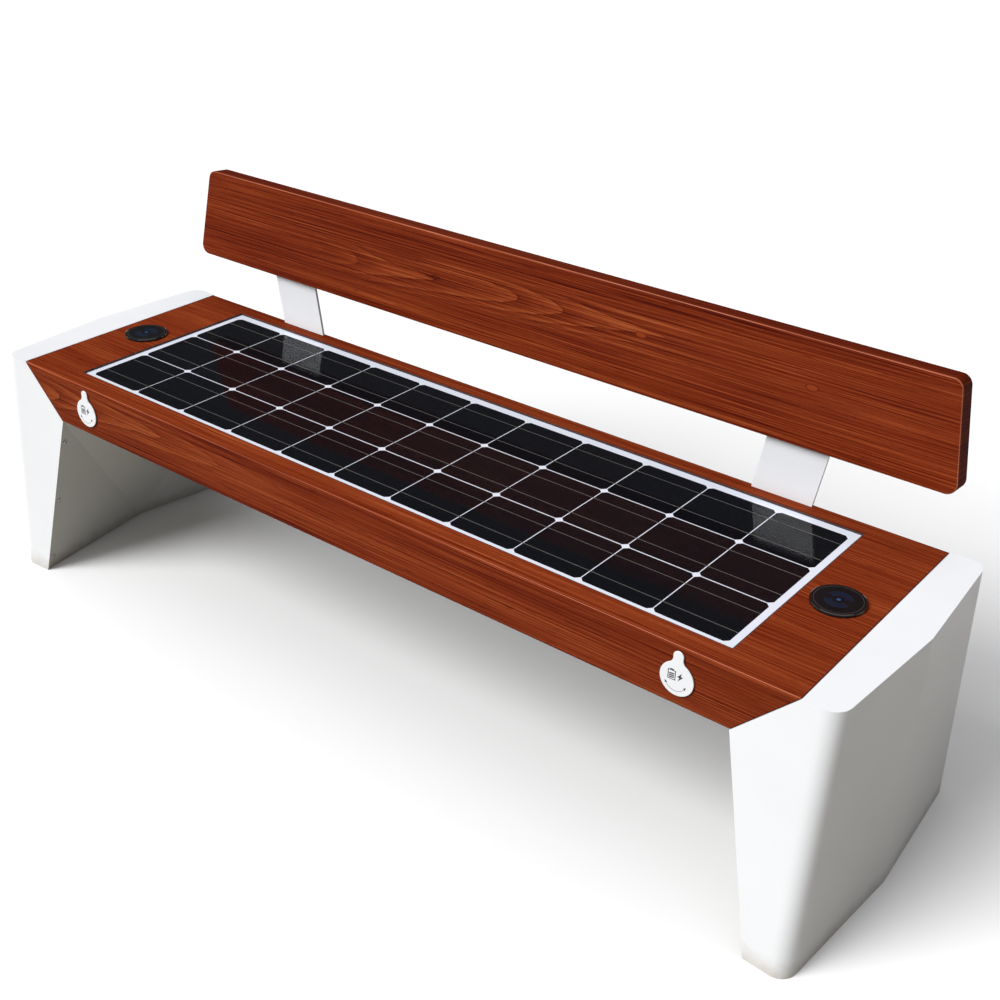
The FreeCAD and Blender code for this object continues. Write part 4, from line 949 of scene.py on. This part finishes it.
# Electrics and underside
# The battery, charge controller and converter stand on a galvanised panel that closes the seat
# from below. Round black leads join them in clips, and a copper coil lies in each charger.
cast_light = (0.58, 0.59, 0.60)
cast_dark = (0.40, 0.41, 0.42)
copper_light = (0.72, 0.34, 0.17)
copper_dark = (0.25, 0.09, 0.04)
wire_radius = 0.0006
wrap_blue = (0.020, 0.060, 0.160)
wrap_shade = (0.014, 0.045, 0.125)
sheath_black = (0.012, 0.012, 0.013)
sheath_shade = (0.009, 0.009, 0.010)


def sand_cast(name):
    """Grey aluminium with the rough skin of a sand mould."""
    cast = Finish(name, Metallic=0.9)
    sand = cast.noise(cast.place, scale=600.0, detail=3.0, roughness=0.6)
    tone = cast.mix(sand, cast_dark, cast_light)
    return cast.wear(tone, cast.spread(sand, 0.42, 0.6), cast.bump(sand, depth=0.00010))


def wound_copper(name):
    """Turns of wire round the middle of each charger, dark between them."""
    low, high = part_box("charger_disc_right")
    copper = Finish(name, Metallic=1.0)
    out = copper.math("SUBTRACT", copper.math("ABSOLUTE", copper.x), (low.x + high.x) / 2.0)
    away = copper.math("MULTIPLY_ADD", out, out, copper.math("MULTIPLY", copper.y, copper.y))
    wire = copper.math("PINGPONG", copper.math("SQRT", away), wire_radius)
    crown = copper.remap(wire, 0.0, wire_radius)
    tone = copper.mix(crown, copper_dark, copper_light)
    gloss = copper.remap(crown, 0.0, 1.0, 0.5, 0.28)
    return copper.wear(tone, gloss, copper.bump(crown, depth=0.0002))


battery_wrap = plain_moulding("battery_wrap", wrap_blue, wrap_shade, roughness=0.35, size=0.004,
                              depth=0.00015)
lead_sheath = plain_moulding("lead_sheath", sheath_black, sheath_shade, roughness=0.42)
dress(["underside_panel"], zinc_coat)
dress(["battery_case"], battery_wrap)
dress(["battery_straps", "lead_clips", "power_converter", "junction_box"], moulded_black)
dress(["charge_controller"], sand_cast("cast_aluminium"))
dress(["internal_leads"], lead_sheath)
dress(["charger_coils"], wound_copper("coil_copper"))


# Floor, sky and lamps
# A wide pale floor that throws little light back up, under a big soft key lamp from the front
# left and a weak one overhead. The sky is white at the horizon, grey above and dark behind.
floor_half = 30.0
floor_seen = (0.97, 0.97, 0.97)
floor_bounce = (0.300, 0.272, 0.214)
key_strength = 3.10
key_azimuth = math.radians(-25.0)
key_elevation = math.radians(42.0)
key_softness = math.radians(34.0)
overhead_strength = 0.95
overhead_elevation = math.radians(90.0)
overhead_softness = math.radians(60.0)
sky_horizon = (1.0, 1.0, 1.0)
sky_front = (0.33, 0.335, 0.35)
sky_back = (0.07, 0.07, 0.075)
sky_white_to = 0.03
sky_grey_from = 0.14
sky_front_to = -0.85
sky_back_from = 0.10


def floor_finish(name):
    """Near white to the eye, and duller in the light that it throws back."""
    ground = Finish(name, Roughness=0.9, Specular_IOR_Level=0.1)
    return ground.wear(ground.mix(ground.seen(), floor_bounce, floor_seen))


def sun(name, strength, azimuth, elevation, softness):
    """A far lamp; its azimuth is 0 in front of the bench and grows to the right."""
    lamp = bpy.data.objects.new(name, bpy.data.lights.new(name, "SUN"))
    lamp.data.energy = strength
    lamp.data.angle = softness
    source = Vector((math.sin(azimuth) * math.cos(elevation),
                     -math.cos(azimuth) * math.cos(elevation),
                     math.sin(elevation)))
    lamp.rotation_euler = source.to_track_quat("Z", "Y").to_euler()
    bpy.context.scene.collection.objects.link(lamp)


ground_mesh = bmesh.new()
bmesh.ops.create_grid(ground_mesh, x_segments=8, y_segments=8, size=floor_half)
ground_plane = mesh_piece("floor", ground_mesh, floor_finish("floor_paint"))
sun("key_lamp", key_strength, key_azimuth, key_elevation, key_softness)
sun("overhead_lamp", overhead_strength, 0.0, overhead_elevation, overhead_softness)

sky = bpy.data.worlds.new("sky")
sky.use_nodes = True
bpy.context.scene.world = sky
air = Mixture(sky.node_tree)
way = air.add("SeparateXYZ", {0: air.add("TexCoord", out="Generated")}, out=None)
above = air.mix(air.remap(way.outputs[1], sky_front_to, sky_back_from), sky_front, sky_back)
height = air.remap(way.outputs[2], sky_white_to, sky_grey_from)
shown = air.mix(height, sky_horizon, above)
shown = air.mix(air.add("LightPath", out="Is Camera Ray"), shown, sky_horizon)
air.feed(sky.node_tree.nodes["Background"].inputs["Color"], air.mix(air.seen(), above, shown))
bpy.context.scene.view_settings.view_transform = "Standard"
